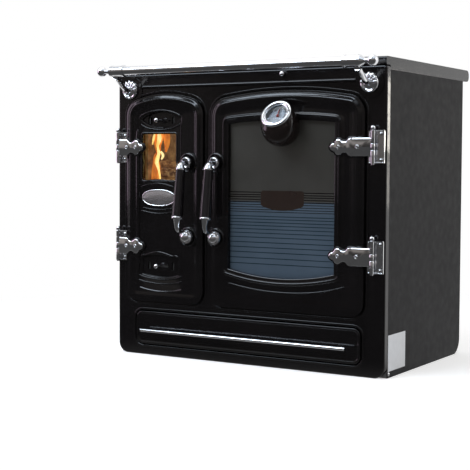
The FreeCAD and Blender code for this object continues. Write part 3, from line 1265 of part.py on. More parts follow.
def bracket():
    """The right-hand bracket: a half-round rosette on the front and an arm up to the rail."""
    x, level = value("bracket_x"), value("bracket_z")
    radius, thick = value("rosette_radius"), value("rosette_thick")
    seat = -value("seat_rise")
    y = value(at_depth("0"))

    def spot(out, height):
        return Vector(x, y - out, height)

    dish = Part.makeCylinder(radius, thick, spot(-seat, level), Vector(0, -1, 0))
    dish = dish.makeFillet(0.55 * thick, [edge for edge in dish.Edges
                                          if edge_in_plane(edge, "y", y + seat - thick)])
    leaves = []
    for index in range(5):
        turn = math.radians(20 + 35 * index)
        centre = spot(-seat, level) + Vector(math.cos(turn), 0, math.sin(turn)) * 0.86 * radius
        lobe = Part.makeSphere(0.3 * radius, centre + Vector(0, -0.3 * thick, 0))
        leaves.append(lobe)
    arm_radius = value("bracket_arm")
    rail_out, rail_z = value("rail_out"), value("rail_z")
    path = [spot(4, level + 2), spot(34, level + 2), spot(52, level + 20),
            spot(rail_out - 4, rail_z - value("sleeve_radius") - 1)]
    arm = bent_rod(path, arm_radius)
    collar = Part.makeSphere(arm_radius + 1.5, path[-1])
    solid = dish.fuse(leaves + [arm, collar])
    wide = 8 * value("rosette_radius")
    tube = Part.makeCylinder(value("sleeve_radius") + 0.05, wide,
                             Vector(x - wide / 2, y - rail_out, rail_z), Vector(1, 0, 0))
    wall = Part.makeBox(wide, wide, wide, Vector(x - wide / 2, y + seat, level - wide / 2))
    band = Part.makeCylinder(value("sleeve_radius") + 1.05, 5.2,
                             Vector(value("sleeve_end") - 8.1, y - rail_out, rail_z),
                             Vector(1, 0, 0))
    return solid.cut([tube, band, wall]).removeSplitter()


right_bracket = bracket()
node(formed("rail_brackets_solid", Part.makeCompound([right_bracket, mirrored(right_bracket)])),
     "rail_brackets")


# ---- drawer ----

def drawer_front():
    body = new_body("drawer")
    panel = front_sketch(body, "drawer_panel", "front_plate")
    draw_rounded(panel, "(-drawer_half)", "drawer_half", "drawer_low", "drawer_high",
                 "drawer_corner")
    pad(body, panel, "front_plate + drawer_face")
    front = value(at_depth("(-drawer_face)"))
    round_edges(body, "5", lambda edge: edge_in_plane(edge, "y", front))
    field = front_sketch(body, "drawer_field_outline", "(-drawer_face)")
    draw_rounded(field, "(drawer_field - drawer_half)", "(drawer_half - drawer_field)",
                 "(drawer_low + drawer_field)", "(drawer_high - drawer_field)",
                 "(drawer_corner - drawer_field)")
    pocket(body, field, "drawer_sink")
    return body


node(drawer_front(), "drawer_front")

BOX = ("(-drawer_box_half)", "drawer_box_half")
drawer_outer = block("drawer_outer", BOX, ("front_plate", "drawer_box_rear"),
                     ("drawer_box_low", "drawer_box_high"))
drawer_inner = block("drawer_inner", ("(box_wall - drawer_box_half)", "(drawer_box_half - box_wall)"),
                     ("front_plate + box_wall", "drawer_box_rear - box_wall"),
                     ("drawer_box_low + box_wall", "drawer_box_high + 1"))
node(cut("drawer_tray", drawer_outer, [drawer_inner]), "drawer_box")

bar_pieces = [rod("bar_long", "bar_radius", "2 * bar_half", "(-bar_half)", "(-bar_out)", "bar_z", "x")]
for index, x in enumerate(("(-bar_post_x)", "bar_post_x")):
    bar_pieces.append(rod("bar_post_%d" % index, "bar_radius - 0.8",
                          "bar_out + drawer_sink - drawer_face", x, "(drawer_sink - drawer_face)",
                          "bar_z", "front"))
node(fuse("bar", bar_pieces), "drawer_bar")

GUIDES = []
for sign, side in ((-1, "left"), (1, "right")):
    web_in = "(%d * (drawer_box_half + fit_gap))" % sign
    web_out = "(%d * (drawer_box_half + fit_gap + guide_sheet))" % sign
    ledge_in = "(%d * (drawer_box_half - guide_ledge))" % sign
    web = (web_in, web_out) if sign > 0 else (web_out, web_in)
    shelf = (ledge_in, web_out) if sign > 0 else (web_out, ledge_in)
    depths = ("guide_front", "guide_rear")
    ledge_top = "(drawer_box_low - fit_gap)"
    GUIDES.append(fuse("guide_" + side, [
        block("guide_web_" + side, web, depths, ("base_sheet", "(drawer_box_low + 20)")),
        block("guide_shelf_" + side, shelf, depths, ("(%s - guide_sheet)" % ledge_top, ledge_top)),
    ]))
node(group("guide_group", GUIDES), "drawer_guides")


# ---- firebox, ash pan and smoke chamber ----

SHELL_LEFT = "(%s - shell_side_gap - shell_wall)" % FIRE_THROAT[0]
SHELL_RIGHT = "(%s + shell_side_gap + shell_wall)" % FIRE_THROAT[1]
INNER_LEFT = "(%s + shell_wall)" % SHELL_LEFT
INNER_RIGHT = "(%s - shell_wall)" % SHELL_RIGHT


def firebox_shell():
    """One weldment: the firebox and the smoke chamber that leads over the oven to the flue."""
    outer = block("shell_outer", (SHELL_LEFT, SHELL_RIGHT), ("front_plate", "shell_rear"),
                  ("shell_low", FRONT_TOP))
    inner = block("shell_inner", (INNER_LEFT, INNER_RIGHT),
                  ("front_plate - 1", "shell_rear - shell_wall"),
                  ("shell_low + shell_wall", "(%s + 1)" % FRONT_TOP))
    chamber = block("chamber_outer", (INNER_RIGHT, "chamber_right"),
                    ("chamber_front", "chamber_rear"), ("chamber_low", FRONT_TOP))
    passage = block("chamber_inner", ("(%s - 1)" % INNER_RIGHT, "chamber_right - chamber_wall"),
                    ("chamber_front + chamber_wall", "chamber_rear - chamber_wall"),
                    ("chamber_low + chamber_wall", "(%s + 1)" % FRONT_TOP))
    side_hole = block("chamber_mouth", ("(%s - 1)" % INNER_RIGHT, "(%s + 1)" % SHELL_RIGHT),
                      ("chamber_front + chamber_wall", "shell_rear - shell_wall"),
                      ("chamber_low + chamber_wall", "(%s + 1)" % FRONT_TOP))
    flue_hole = rod("chamber_flue_hole", "flue_radius - flue_wall", "3 * chamber_wall", "flue_x",
                    "chamber_rear - 2 * chamber_wall", "flue_z", "back")
    rod_hole = rod("chamber_rod_hole", "damper_rod + 1", "3 * chamber_wall", "flue_x",
                   "chamber_front - chamber_wall", "damper_z", "back")
    ledges = [
        block("grate_ledge_left", (INNER_LEFT, "(%s + ledge_width)" % INNER_LEFT),
              ("front_plate", "shell_rear - shell_wall"),
              ("grate_low - ledge_height", "grate_low")),
        block("grate_ledge_right", ("(%s - ledge_width)" % INNER_RIGHT, INNER_RIGHT),
              ("front_plate", "shell_rear - shell_wall"),
              ("grate_low - ledge_height", "grate_low")),
    ]
    flange_notch = block("shell_flange_notch", ("(%s - 1)" % SHELL_LEFT, "(%s + 1)" % SHELL_RIGHT),
                         ("front_plate - 1", "front_flange + fit_gap"),
                         ("(%s - flange_wall - fit_gap)" % FRONT_TOP, "(%s + 1)" % FRONT_TOP))
    body = cut("shell_walls", fuse("shell_blocks", [outer, chamber]),
               [inner, passage, side_hole, flue_hole, rod_hole, flange_notch])
    return fuse("shell_solid", [body] + ledges)


node(firebox_shell(), "firebox_shell")


def firebricks():
    """Bricks on the side and rear walls, laid in rows on the edge of the grate."""
    left, right = value(INNER_LEFT) + 0.3, value(INNER_RIGHT) - 0.3
    front, rear = value(at_depth("brick_front")), value(at_depth("shell_rear - shell_wall")) - 0.3
    low, high = value("brick_low"), value("brick_high")
    thick, joint = value("brick_thick"), value("brick_joint")
    rows, columns = int(value("brick_rows")), int(value("brick_columns"))
    height = (high - low - (rows - 1) * joint) / rows
    side_length = (rear - thick - joint - front - (columns - 1) * joint) / columns
    back_length = (right - left - joint) / 2
    bricks = []
    for level in range(rows):
        z = low + level * (height + joint)
        for column in range(columns):
            y = front + column * (side_length + joint)
            for x in (left, right - thick):
                bricks.append(Part.makeBox(thick, side_length, height, Vector(x, y, z)))
        for half in range(2):
            x = left + half * (back_length + joint)
            bricks.append(Part.makeBox(back_length, thick, height, Vector(x, rear - thick, z)))
    return Part.makeCompound(bricks)


node(formed("bricks", firebricks()), "firebricks")

grate_block = block("grate_block", ("(%s + 0.3)" % INNER_LEFT, "(%s - 0.3)" % INNER_RIGHT),
                    ("front_plate + 8", "shell_rear - shell_wall - 0.3"),
                    ("grate_low", "grate_low + grate_thick"))


def grate_slots():
    """Upright slots through the grate, evenly spaced from front to back."""
    count = int(value("grate_slots"))
    start, end = value("front_plate + 40"), value("shell_rear - shell_wall - 40")
    pitch = (end - start) / (count - 1)
    margin = "(ledge_width + brick_thick)"
    return [block("grate_slot_%d" % index,
                  ("(%s + %s)" % (INNER_LEFT, margin), "(%s - %s)" % (INNER_RIGHT, margin)),
                  ("(%s - grate_slot / 2)" % (start + index * pitch),
                   "(%s + grate_slot / 2)" % (start + index * pitch)),
                  ("grate_low - 1", "grate_low + grate_thick + 1"))
            for index in range(count)]


node(cut("grate", grate_block, grate_slots()), "fire_grate")

PAN = ("(%s + pan_clear)" % FIRE_THROAT[0], "(%s - pan_clear)" % FIRE_THROAT[1])
PAN_LOW = "(shell_low + shell_wall)"
pan_outer = block("pan_outer", PAN, ("front_plate + 8", "pan_rear"), (PAN_LOW, "pan_high"))
pan_inner = block("pan_inner", ("(%s + pan_wall)" % PAN[0], "(%s - pan_wall)" % PAN[1]),
                  ("front_plate + 8 + pan_wall", "pan_rear - pan_wall"),
                  ("(%s + pan_wall)" % PAN_LOW, "pan_high + 1"))
node(cut("pan", pan_outer, [pan_inner]), "ash_pan")

PANEL_BACK = "(body_depth - back_inset)"
spigot_tube = rod("spigot_tube", "flue_radius", "flue_rear - %s" % PANEL_BACK, "flue_x",
                  PANEL_BACK, "flue_z", "back")
spigot_root = rod("spigot_root", "flue_radius + flue_step", "%s - chamber_rear" % PANEL_BACK,
                  "flue_x", "chamber_rear", "flue_z", "back")
spigot_inner = rod("spigot_inner", "flue_radius - flue_wall", "flue_rear - chamber_rear + 2",
                   "flue_x", "chamber_rear - 1", "flue_z", "back")
node(cut("spigot", fuse("spigot_outer", [spigot_tube, spigot_root]), [spigot_inner]),
     "flue_spigot")

damper_front = "(-damper_knob)"
DAMPER_BACK = "(chamber_rear - chamber_wall - damper_back_gap)"
knob_dome = ball("damper_ball", "damper_knob", "flue_x", damper_front, "damper_z")
damper_shaft = rod("damper_shaft", "damper_rod", "%s - damper_plate + damper_knob" % DAMPER_BACK,
                   "flue_x", damper_front, "damper_z", "back")
node(fuse("damper_pull", [knob_dome, damper_shaft]), "damper_knob")
damper_sheet = block("damper_sheet", ("(flue_x - damper_size / 2)", "(flue_x + damper_size / 2)"),
                     ("(%s - damper_plate)" % DAMPER_BACK, DAMPER_BACK),
                     ("chamber_low + chamber_wall + 2", "damper_z + damper_rod + 4"))
node(damper_sheet, "damper_plate")


# ---- oven ----

OVEN = (OVEN_THROAT[0], OVEN_THROAT[1], "oven_throat_low", "oven_throat_high")
shell = grown(OVEN, "oven_wall")
oven_outer = block("oven_outer", shell[:2], ("front_plate", "oven_rear"), shell[2:])
oven_inner = block("oven_inner", OVEN[:2], ("front_plate - 1", "oven_rear - oven_wall"), OVEN[2:])
node(cut("oven", oven_outer, [oven_inner]), "oven_box")


def runner(side, wall, way):
    """A side sheet with ledges that carry the rack."""
    inner = "(%s + %d * runner_sheet)" % (wall, way)
    tip = "(%s + %d * (runner_sheet + runner_ledge))" % (wall, way)
    depths = ("front_plate + 25", "oven_rear - 25")
    sheet_span = (wall, inner) if way > 0 else (inner, wall)
    ledge_span = (wall, tip) if way > 0 else (tip, wall)
    top = "(runner_first + (runner_count - 1) * runner_pitch + 25)"
    pieces = [block("runner_sheet_" + side, sheet_span, depths, ("(runner_first - 25)", top))]
    for level in range(int(value("runner_count"))):
        low = "(runner_first + %d * runner_pitch)" % level
        pieces.append(block("runner_%s_%d" % (side, level), ledge_span, depths,
                            (low, "(%s + runner_sheet)" % low)))
    return fuse("runner_" + side, pieces)


node(group("runner_group", [runner("left", OVEN[0], 1), runner("right", OVEN[1], -1)]),
     "oven_runners")


def oven_rack():
    """A wire rack: a round frame with bars from front to back."""
    wire = value("rack_wire")
    left = value(OVEN[0]) + value("runner_sheet") + 1 + wire
    right = value(OVEN[1]) - value("runner_sheet") - 1 - wire
    front = value(at_depth("front_plate + 30"))
    rear = value(at_depth("oven_rear - 30"))
    z = value("runner_first + rack_level * runner_pitch + runner_sheet") + wire
    corners = [Vector(left, front, z), Vector(right, front, z), Vector(right, rear, z),
               Vector(left, rear, z)]
    pieces = []
    for start, end in zip(corners, corners[1:] + corners[:1]):
        pieces.append(Part.makeCylinder(wire, (end - start).Length, start, end - start))
        pieces.append(Part.makeSphere(wire, start))
    bars = int(value("rack_bars"))
    for index in range(1, bars + 1):
        x = left + (right - left) * index / (bars + 1)
        pieces.append(Part.makeCylinder(0.7 * wire, rear - front, Vector(x, front, z),
                                        Vector(0, 1, 0)))
    return pieces[0].fuse(pieces[1:])


node(formed("rack", oven_rack()), "oven_rack")


# ---- build, check and write ----

doc.recompute()
for thing in doc.Objects:
    if "Invalid" in thing.State or "Error" in thing.State:
        raise RuntimeError("%s did not build: %s" % (thing.Name, thing.State))
os.makedirs("parts", exist_ok=True)
for thing in NODES:
    if thing.Shape.isNull() or not thing.Shape.isValid():
        raise RuntimeError("%s has no valid shape" % thing.Label)
for thing in NODES:
    thing.Shape.exportStep("parts/%s.step" % thing.Label)
    print("%-24s %2d solid(s) %10.0f mm3" % (thing.Label, len(thing.Shape.Solids),
                                              thing.Shape.Volume))
print(len(NODES), "nodes")
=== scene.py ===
"""Looks of the cast iron range cooker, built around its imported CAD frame.
Sizes in the shape helpers are millimetres: x to the right, z up, and out measured forwards
from the face of the front casting."""

import json
import math

import bmesh
import bpy
from mathutils import Matrix, Vector


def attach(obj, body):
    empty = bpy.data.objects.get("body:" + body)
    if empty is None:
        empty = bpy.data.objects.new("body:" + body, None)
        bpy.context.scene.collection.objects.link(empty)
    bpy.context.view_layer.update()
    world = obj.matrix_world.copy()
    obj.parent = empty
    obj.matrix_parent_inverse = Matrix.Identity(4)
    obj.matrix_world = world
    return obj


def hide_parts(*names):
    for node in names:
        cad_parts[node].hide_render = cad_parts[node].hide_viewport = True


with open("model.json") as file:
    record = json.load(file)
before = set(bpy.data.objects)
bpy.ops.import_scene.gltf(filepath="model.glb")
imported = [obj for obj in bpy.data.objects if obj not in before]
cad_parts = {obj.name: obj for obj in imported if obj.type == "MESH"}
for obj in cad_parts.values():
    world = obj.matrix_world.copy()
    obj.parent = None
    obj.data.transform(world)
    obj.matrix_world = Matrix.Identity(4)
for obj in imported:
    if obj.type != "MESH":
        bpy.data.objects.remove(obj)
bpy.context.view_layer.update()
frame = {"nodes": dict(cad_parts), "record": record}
NODES = frame["nodes"]
FACE = 275.0            # mm from the middle of the cooker to the face of the front casting
HALF = 435.0            # half of the casting's width, mm
DIAL_CENTRE = Vector((0.136, -0.330, 0.701))
DIAL_FACING = Vector((0, -0.79864, 0.60182))
DIAL_RIGHT = Vector((1, 0, 0))
DIAL_UP = Vector((0, 0.60182, 0.79864))


# ---- camera, light and floor ----

def look(azimuth, elevation, roll):
    forward = Vector((-math.sin(azimuth) * math.cos(elevation),
                      math.cos(azimuth) * math.cos(elevation), -math.sin(elevation)))
    right = Vector((math.cos(azimuth), math.sin(azimuth), 0))
    up = right.cross(forward)
    side = right * math.cos(roll) + up * math.sin(roll)
    top = up * math.cos(roll) - right * math.sin(roll)
    return Matrix((side, top, -forward)).transposed().to_4x4()


lens = bpy.data.cameras.new("camera")
lens.sensor_width = 36
lens.lens = 92.306
lens.shift_x = 0.005865
lens.shift_y = -0.024501
lens.clip_end = 200
camera = bpy.data.objects.new("camera", lens)
camera.matrix_world = Matrix.Translation((1.739083, -3.173877, 0.574828)) @ look(0.549414645, 0.0518710742,
        0.0046044376)
bpy.context.scene.collection.objects.link(camera)
bpy.context.scene.camera = camera
bpy.context.scene.view_settings.view_transform = "Standard"


def lamp(name, place, aim, size, power, colour):
    data = bpy.data.lights.new(name, "AREA")
    data.shape = "RECTANGLE"
    data.size, data.size_y = size
    data.energy = power
    data.color = colour
    thing = bpy.data.objects.new(name, data)
    thing.location = place
    thing.rotation_euler = (Vector(aim) - Vector(place)).to_track_quat("-Z", "Y").to_euler()
    bpy.context.scene.collection.objects.link(thing)


lamp("front_lamp", (-1.3, -2.5, 2.9), (0, 0, 0.6), (2.6, 1.5), 88, (0.76, 0.87, 1))
lamp("top_lamp", (-0.4, -0.3, 3.6), (0, 0, 0.5), (3.0, 2.4), 22, (1, 0.98, 0.96))
lamp("left_lamp", (-3.4, -1.7, 1.5), (0, 0, 0.5), (1.3, 2.4), 20, (1, 0.76, 0.97))
lamp("right_lamp", (3.4, 0.6, 1.9), (0, 0, 0.4), (1.6, 1.8), 16, (1, 0.98, 0.96))
lamp("edge_lamp_high", (1.503, 2.12, 0.80), (0.435, -0.264, 0.72), (0.13, 0.34), 1.05, (1, 0.94, 0.84))
lamp("edge_lamp_low", (1.503, 2.12, 0.47), (0.435, -0.264, 0.50), (0.13, 0.22), 0.16, (1, 0.94, 0.84))


def seen_directly(tree):
    """1 for what the camera sees, also by way of metal and glass."""
    path = tree.nodes.new("ShaderNodeLightPath")
    most = path.outputs["Is Camera Ray"]
    for word in ("Is Glossy Ray", "Is Transmission Ray"):
        item = tree.nodes.new("ShaderNodeMath")
        item.operation = "MAXIMUM"
        tree.links.new(most, item.inputs[0])
        tree.links.new(path.outputs[word], item.inputs[1])
        most = item.outputs[0]
    return most, path.outputs["Is Camera Ray"]


def spread(tree, factor, low, high, first=0.0, last=1.0, soft=True):
    """The factor's span from low to high, spread from first to last."""
    item = tree.nodes.new("ShaderNodeMapRange")
    item.interpolation_type = "SMOOTHSTEP" if soft else "LINEAR"
    for socket, number in (("From Min", low), ("From Max", high), ("To Min", first), ("To Max", last)):
        item.inputs[socket].default_value = number
    tree.links.new(factor, item.inputs["Value"])
    return item.outputs["Result"]


def blend(tree, factor, first, second):
    item = tree.nodes.new("ShaderNodeMixShader")
    for socket, output in enumerate((factor, first, second)):
        tree.links.new(output, item.inputs[socket])
    return item.outputs[0]


def studio():
    """A plain studio: white behind, and a dim room in front that grows brighter upwards."""
    world = bpy.data.worlds.new("studio")
    world.use_nodes = True
    tree = world.node_tree
    tree.nodes.clear()
    where = tree.nodes.new("ShaderNodeTexCoord").outputs["Generated"]
    parts = tree.nodes.new("ShaderNodeSeparateXYZ")
    tree.links.new(where, parts.inputs[0])
    room = tree.nodes.new("ShaderNodeValToRGB")
    tree.links.new(spread(tree, parts.outputs["Z"], -1.0, 1.0, soft=False), room.inputs["Fac"])
    band = room.color_ramp
    stops = [(0.0, (0.030, 0.028, 0.030)), (0.44, (0.055, 0.052, 0.055)), (0.50, (0.10, 0.092, 0.088)),
             (0.56, (0.17, 0.155, 0.145)), (0.68, (0.22, 0.21, 0.20)), (0.80, (0.50, 0.55, 0.62)),
             (0.90, (0.85, 0.93, 1.0))]
    while len(band.elements) < len(stops):
        band.elements.new(0.5)
    for element, (spot, colour) in zip(band.elements, stops):
        element.position = spot
        element.color = colour + (1,)

    def shade(strength):
        item = tree.nodes.new("ShaderNodeBackground")
        item.inputs["Color"].default_value = (1, 1, 1, 1)
        item.inputs["Strength"].default_value = strength
        return item.outputs[0]

    cloud = tree.nodes.new("ShaderNodeTexNoise")
    cloud.inputs["Scale"].default_value = 4.2
    cloud.inputs["Detail"].default_value = 2.0
    tree.links.new(where, cloud.inputs["Vector"])
    dim_room = tree.nodes.new("ShaderNodeBackground")
    tree.links.new(room.outputs["Color"], dim_room.inputs["Color"])
    tree.links.new(spread(tree, cloud.outputs["Fac"], 0.38, 0.64, 0.30, 1.9, soft=False),
                   dim_room.inputs["Strength"])
    both, camera_only = seen_directly(tree)
    behind = spread(tree, parts.outputs["Y"], -0.20, 0.30)
    seen = blend(tree, both, shade(0.5), blend(tree, behind, dim_room.outputs[0], shade(0.95)))
    out = tree.nodes.new("ShaderNodeOutputWorld")
    tree.links.new(blend(tree, camera_only, seen, shade(1.0)), out.inputs["Surface"])
    bpy.context.scene.world = world


def floor():
    """A pale floor that is pure white away from the cooker and keeps its shadow near it."""
    shell = bmesh.new()
    rings = [0.6, 1.2, 1.8, 2.6, 4, 7, 14, 40]
    count = 64
    loops = [[shell.verts.new((0.02 + r * math.cos(2 * math.pi * i / count),
                               r * math.sin(2 * math.pi * i / count), -0.0005))
              for i in range(count)] for r in rings]
    shell.faces.new(loops[0])
    for a, b in zip(loops, loops[1:]):
        for i in range(count):
            j = (i + 1) % count
            shell.faces.new((a[i], a[j], b[j], b[i]))
    data = bpy.data.meshes.new("floor")
    shell.to_mesh(data)
    shell.free()
    thing = bpy.data.objects.new("floor", data)
    bpy.context.scene.collection.objects.link(thing)
    material = bpy.data.materials.new("floor")
    material.use_nodes = True
    tree = material.node_tree
    tree.nodes.clear()
    where = tree.nodes.new("ShaderNodeTexCoord").outputs["Object"]
    away = tree.nodes.new("ShaderNodeVectorMath")
    away.operation = "LENGTH"
    tree.links.new(where, away.inputs[0])
    grain = tree.nodes.new("ShaderNodeTexNoise")
    grain.inputs["Scale"].default_value = 30
    tree.links.new(where, grain.inputs["Vector"])
    matt = tree.nodes.new("ShaderNodeBsdfDiffuse")
    tree.links.new(spread(tree, grain.outputs["Fac"], 0, 1, 0.84, 0.88, soft=False), matt.inputs["Color"])
    lift, pure, mirrored = [tree.nodes.new("ShaderNodeEmission") for _ in range(3)]
    lift.inputs["Strength"].default_value = 0.45
    pure.inputs["Strength"].default_value = 1.0
    near = tree.nodes.new("ShaderNodeAddShader")
    tree.links.new(matt.outputs[0], near.inputs[0])
    tree.links.new(lift.outputs[0], near.inputs[1])
    pale = blend(tree, spread(tree, away.outputs["Value"], 0.75, 1.7), near.outputs[0], pure.outputs[0])
    dim = tree.nodes.new("ShaderNodeBsdfDiffuse")
    dim.inputs["Color"].default_value = (0.8, 0.8, 0.8, 1)
    parts = tree.nodes.new("ShaderNodeSeparateXYZ")
    tree.links.new(where, parts.inputs[0])
    tree.links.new(spread(tree, parts.outputs["Y"], -0.55, 0.25, 0.06, 0.9), mirrored.inputs["Strength"])
    both, camera_only = seen_directly(tree)
    plain = blend(tree, both, dim.outputs[0], mirrored.outputs[0])
    out = tree.nodes.new("ShaderNodeOutputMaterial")
    tree.links.new(blend(tree, camera_only, plain, pale), out.inputs["Surface"])
    data.materials.append(material)


studio()
floor()


# ---- materials ----

class Paint:
    """A material whose principled shader gets its detail from a few procedural nodes."""

    def __init__(self, name, **sockets):
        self.material = bpy.data.materials.new(name)
        self.material.use_nodes = True
        self.tree = self.material.node_tree
        self.shader = self.tree.nodes["Principled BSDF"]
        for socket, number in sockets.items():
            self.shader.inputs[socket.replace("_", " ")].default_value = number
        self.where = self.add("ShaderNodeTexCoord").outputs["Object"]

    def add(self, kind, inputs=None, **settings):
        item = self.tree.nodes.new(kind)
        for word, setting in settings.items():
            setattr(item, word, setting)
        for socket, number in (inputs or {}).items():
            if hasattr(number, "is_output"):
                self.tree.links.new(number, item.inputs[socket])
            else:
                item.inputs[socket].default_value = number
        return item

    def link(self, output, socket):
        self.tree.links.new(output, self.shader.inputs[socket])

    def noise(self, scale, detail=3.0, rough=0.5, stretch=None):
        place = self.where
        if stretch:
            place = self.add("ShaderNodeMapping", {"Vector": place, "Scale": stretch}).outputs["Vector"]
        return self.add("ShaderNodeTexNoise", {"Vector": place, "Scale": scale, "Detail": detail,
                                               "Roughness": rough}).outputs["Fac"]

    def ramp(self, factor, *stops):
        item = self.add("ShaderNodeValToRGB", {"Fac": factor})
        band = item.color_ramp
        while len(band.elements) < len(stops):
            band.elements.new(0.5)
        for element, (place, colour) in zip(band.elements, stops):
            element.position = place
            element.color = (colour[0], colour[1], colour[2], 1) if hasattr(colour,
                    "__len__") else (colour,) * 3 + (1,)
        return item.outputs["Color"]

    def span(self, factor, low, high):
        return self.add("ShaderNodeMapRange", {"Value": factor, "From Min": 0.3, "From Max": 0.7,
                                               "To Min": low, "To Max": high}).outputs["Result"]

    def bump(self, *layers):
        """Layers of (height, strength, distance in metres)."""
        last = None
        for height, strength, distance in layers:
            inputs = {"Height": height, "Strength": strength, "Distance": distance}
            if last:
                inputs["Normal"] = last
            last = self.add("ShaderNodeBump", inputs).outputs["Normal"]
        self.link(last, "Normal")
        return self


def enamel(name, colour, light, specular, low, high, wave=0.35):
    paint = Paint(name, Specular_IOR_Level=specular)
    cloud = paint.noise(9, 4)
    paint.link(paint.ramp(cloud, (0.3, colour), (0.72, light)), "Base Color")
    paint.link(paint.span(paint.noise(42, 5), low, high), "Roughness")
    return paint.bump((paint.noise(55, 2), wave, 0.0006), (paint.noise(700, 3), 0.12, 0.0001)).material


def iron(name, dark, light, metal, low, high, grain=420):
    paint = Paint(name, Metallic=metal)
    paint.link(paint.ramp(paint.noise(30, 6, 0.65), (0.3, dark), (0.7, light)), "Base Color")
    paint.link(paint.span(paint.noise(90, 5), low, high), "Roughness")
    return paint.bump((paint.noise(grain, 5, 0.7), 0.35, 0.0006)).material


def chrome(name):
    paint = Paint(name, Metallic=1.0)
    paint.link(paint.ramp(paint.noise(16, 3), (0.3, (0.80, 0.81, 0.84)), (0.7, (0.90, 0.90, 0.92))),
               "Base Color")
    paint.link(paint.span(paint.noise(120, 4), 0.045, 0.1), "Roughness")
    return paint.bump((paint.noise(60, 2), 0.12, 0.0006)).material


def glass(name, colour, cover):
    """A pane that lets light through and still carries smears in its gloss."""
    paint = Paint(name, Transmission_Weight=1.0, IOR=1.45)
    paint.link(paint.ramp(paint.noise(12, 3), (0.3, colour), (0.7, [min(1, c * 1.08) for c in colour])),
               "Base Color")
    paint.link(paint.span(paint.noise(25, 4), 0.0, cover), "Roughness")
    return paint.material


BLACK = enamel("black_enamel", (0.0030, 0.0025, 0.0027), (0.0048, 0.0040, 0.0042), 0.46, 0.08, 0.14)
SHEET = enamel("black_sheet", (0.0130, 0.0128, 0.0138), (0.0152, 0.0150, 0.0160), 0.16, 0.55, 0.66, 0.04)
GREY_IRON = iron("grey_iron", (0.030, 0.030, 0.032), (0.062, 0.061, 0.060), 0.35, 0.42, 0.62)
GREY_STEEL = iron("grey_steel", (0.16, 0.16, 0.165), (0.22, 0.22, 0.225), 0.6, 0.35, 0.5, 200)
MILD_STEEL = iron("mild_steel", (0.07, 0.068, 0.066), (0.12, 0.117, 0.112), 0.7, 0.38, 0.6, 300)
OVEN_ENAMEL = enamel("oven_enamel", (0.030, 0.034, 0.040), (0.048, 0.054, 0.062), 0.5, 0.2, 0.32)
WIRE = iron("chromed_wire", (0.62, 0.62, 0.64), (0.74, 0.74, 0.76), 1.0, 0.12, 0.25, 500)
CHROME = chrome("chrome")
SCREW = iron("screw_steel", (0.55, 0.55, 0.56), (0.70, 0.70, 0.71), 1.0, 0.16, 0.3, 600)
BOWL = enamel("bowl_enamel", (0.0060, 0.0040, 0.0036), (0.0090, 0.0062, 0.0056), 0.5, 0.07, 0.12, 0.15)
GRIP = enamel("black_grip", (0.006, 0.005, 0.006), (0.010, 0.009, 0.010), 0.5, 0.10, 0.17, 0.1)
CLEAR = glass("clear_glass", (0.96, 0.97, 0.97), 0.03)
DARK_GLASS = glass("dark_glass", (0.30, 0.32, 0.31), 0.03)


def print_and_shade_paint(name, dark, light, low=0.05, high=0.1):
    """A thin opaque colour under the same gloss as the glass: printed enamel, and the oven pane's coat with
    painted shade.
    """
    paint = Paint(name, Specular_IOR_Level=0.5)
    paint.link(paint.ramp(paint.noise(7, 3), (0.3, dark), (0.7, light)), "Base Color")
    paint.link(paint.span(paint.noise(25, 4), low, high), "Roughness")
    return paint.material


def flame_paint(name, low, middle, high, strength):
    paint = Paint(name, Roughness=0.9, Emission_Strength=strength)
    paint.link(paint.ramp(paint.noise(26, 4, 0.6, (1.6, 1.6, 0.6)), (0.34, low), (0.5, middle),
                          (0.66, high)), "Emission Color")
    paint.link(paint.ramp(paint.noise(40, 2), (0.3, low), (0.7, middle)), "Base Color")
    return paint.material


def glowing(name, dark, light, strength, scale):
    """Rough brick or wood with painted firelight: an emission in its own tone stands in for the fire's light
    falling on it.
    """
    # The emission is painted firelight from the flames.
    paint = Paint(name, Emission_Strength=strength)
    mottle = paint.noise(scale, 8, 0.7)
    tone = paint.ramp(mottle, (0.30, [c * 0.3 for c in dark]), (0.45, dark), (0.68, light))
    paint.link(tone, "Base Color")
    paint.link(tone, "Emission Color")
    paint.link(paint.span(mottle, 0.75, 0.95), "Roughness")
    return paint.bump((paint.noise(160, 8, 0.75), 0.7, 0.002), (mottle, 0.5, 0.003)).material


# The oven pane's opaque brown coat: the glass's own smoky tint together with painted shade of the unlit oven
# behind it.
SMOKED_AND_SHADED_PANE = print_and_shade_paint("smoked_glass_with_painted_shade", (0.036, 0.034, 0.030), (0.046, 0.044, 0.039), 0.02, 0.06)
PRINT_BLUE = print_and_shade_paint("print_blue", (0.048, 0.068, 0.090), (0.057, 0.079, 0.104))
PRINT_LINE = print_and_shade_paint("print_line", (0.008, 0.016, 0.021), (0.011, 0.021, 0.027))
PRINT_BROWN = print_and_shade_paint("print_brown", (0.019, 0.0125, 0.0100), (0.025, 0.0170, 0.0135))
PRINT_DARK = print_and_shade_paint("print_dark", (0.008, 0.007, 0.006), (0.011, 0.010, 0.009))
FLAME = flame_paint("flame", (0.34, 0.065, 0.008), (0.62, 0.18, 0.02), (0.90, 0.36, 0.06), 1.0)
EMBER = flame_paint("ember", (0.26, 0.050, 0.008), (0.50, 0.13, 0.016), (0.78, 0.27, 0.03), 0.95)
CORE = flame_paint("flame_core", (1.0, 0.50, 0.08), (1.0, 0.74, 0.24), (1.0, 0.90, 0.52), 1.1)
# Logs: the emission is partly the wood's own ember glow and partly painted firelight from the flames.
LOG = glowing("log", (0.10, 0.038, 0.012), (0.52, 0.31, 0.12), 0.42, 60)


def badge_paint():
    paint = Paint("badge_metal", Metallic=1.0)
    brush = paint.noise(40, 4, 0.6, (1, 1, 30))
    paint.link(paint.ramp(brush, (0.3, (0.72, 0.72, 0.73)), (0.7, (0.86, 0.86, 0.87))), "Base Color")
    paint.link(paint.span(brush, 0.2, 0.34), "Roughness")
    return paint.bump((brush, 0.1, 0.0002)).material


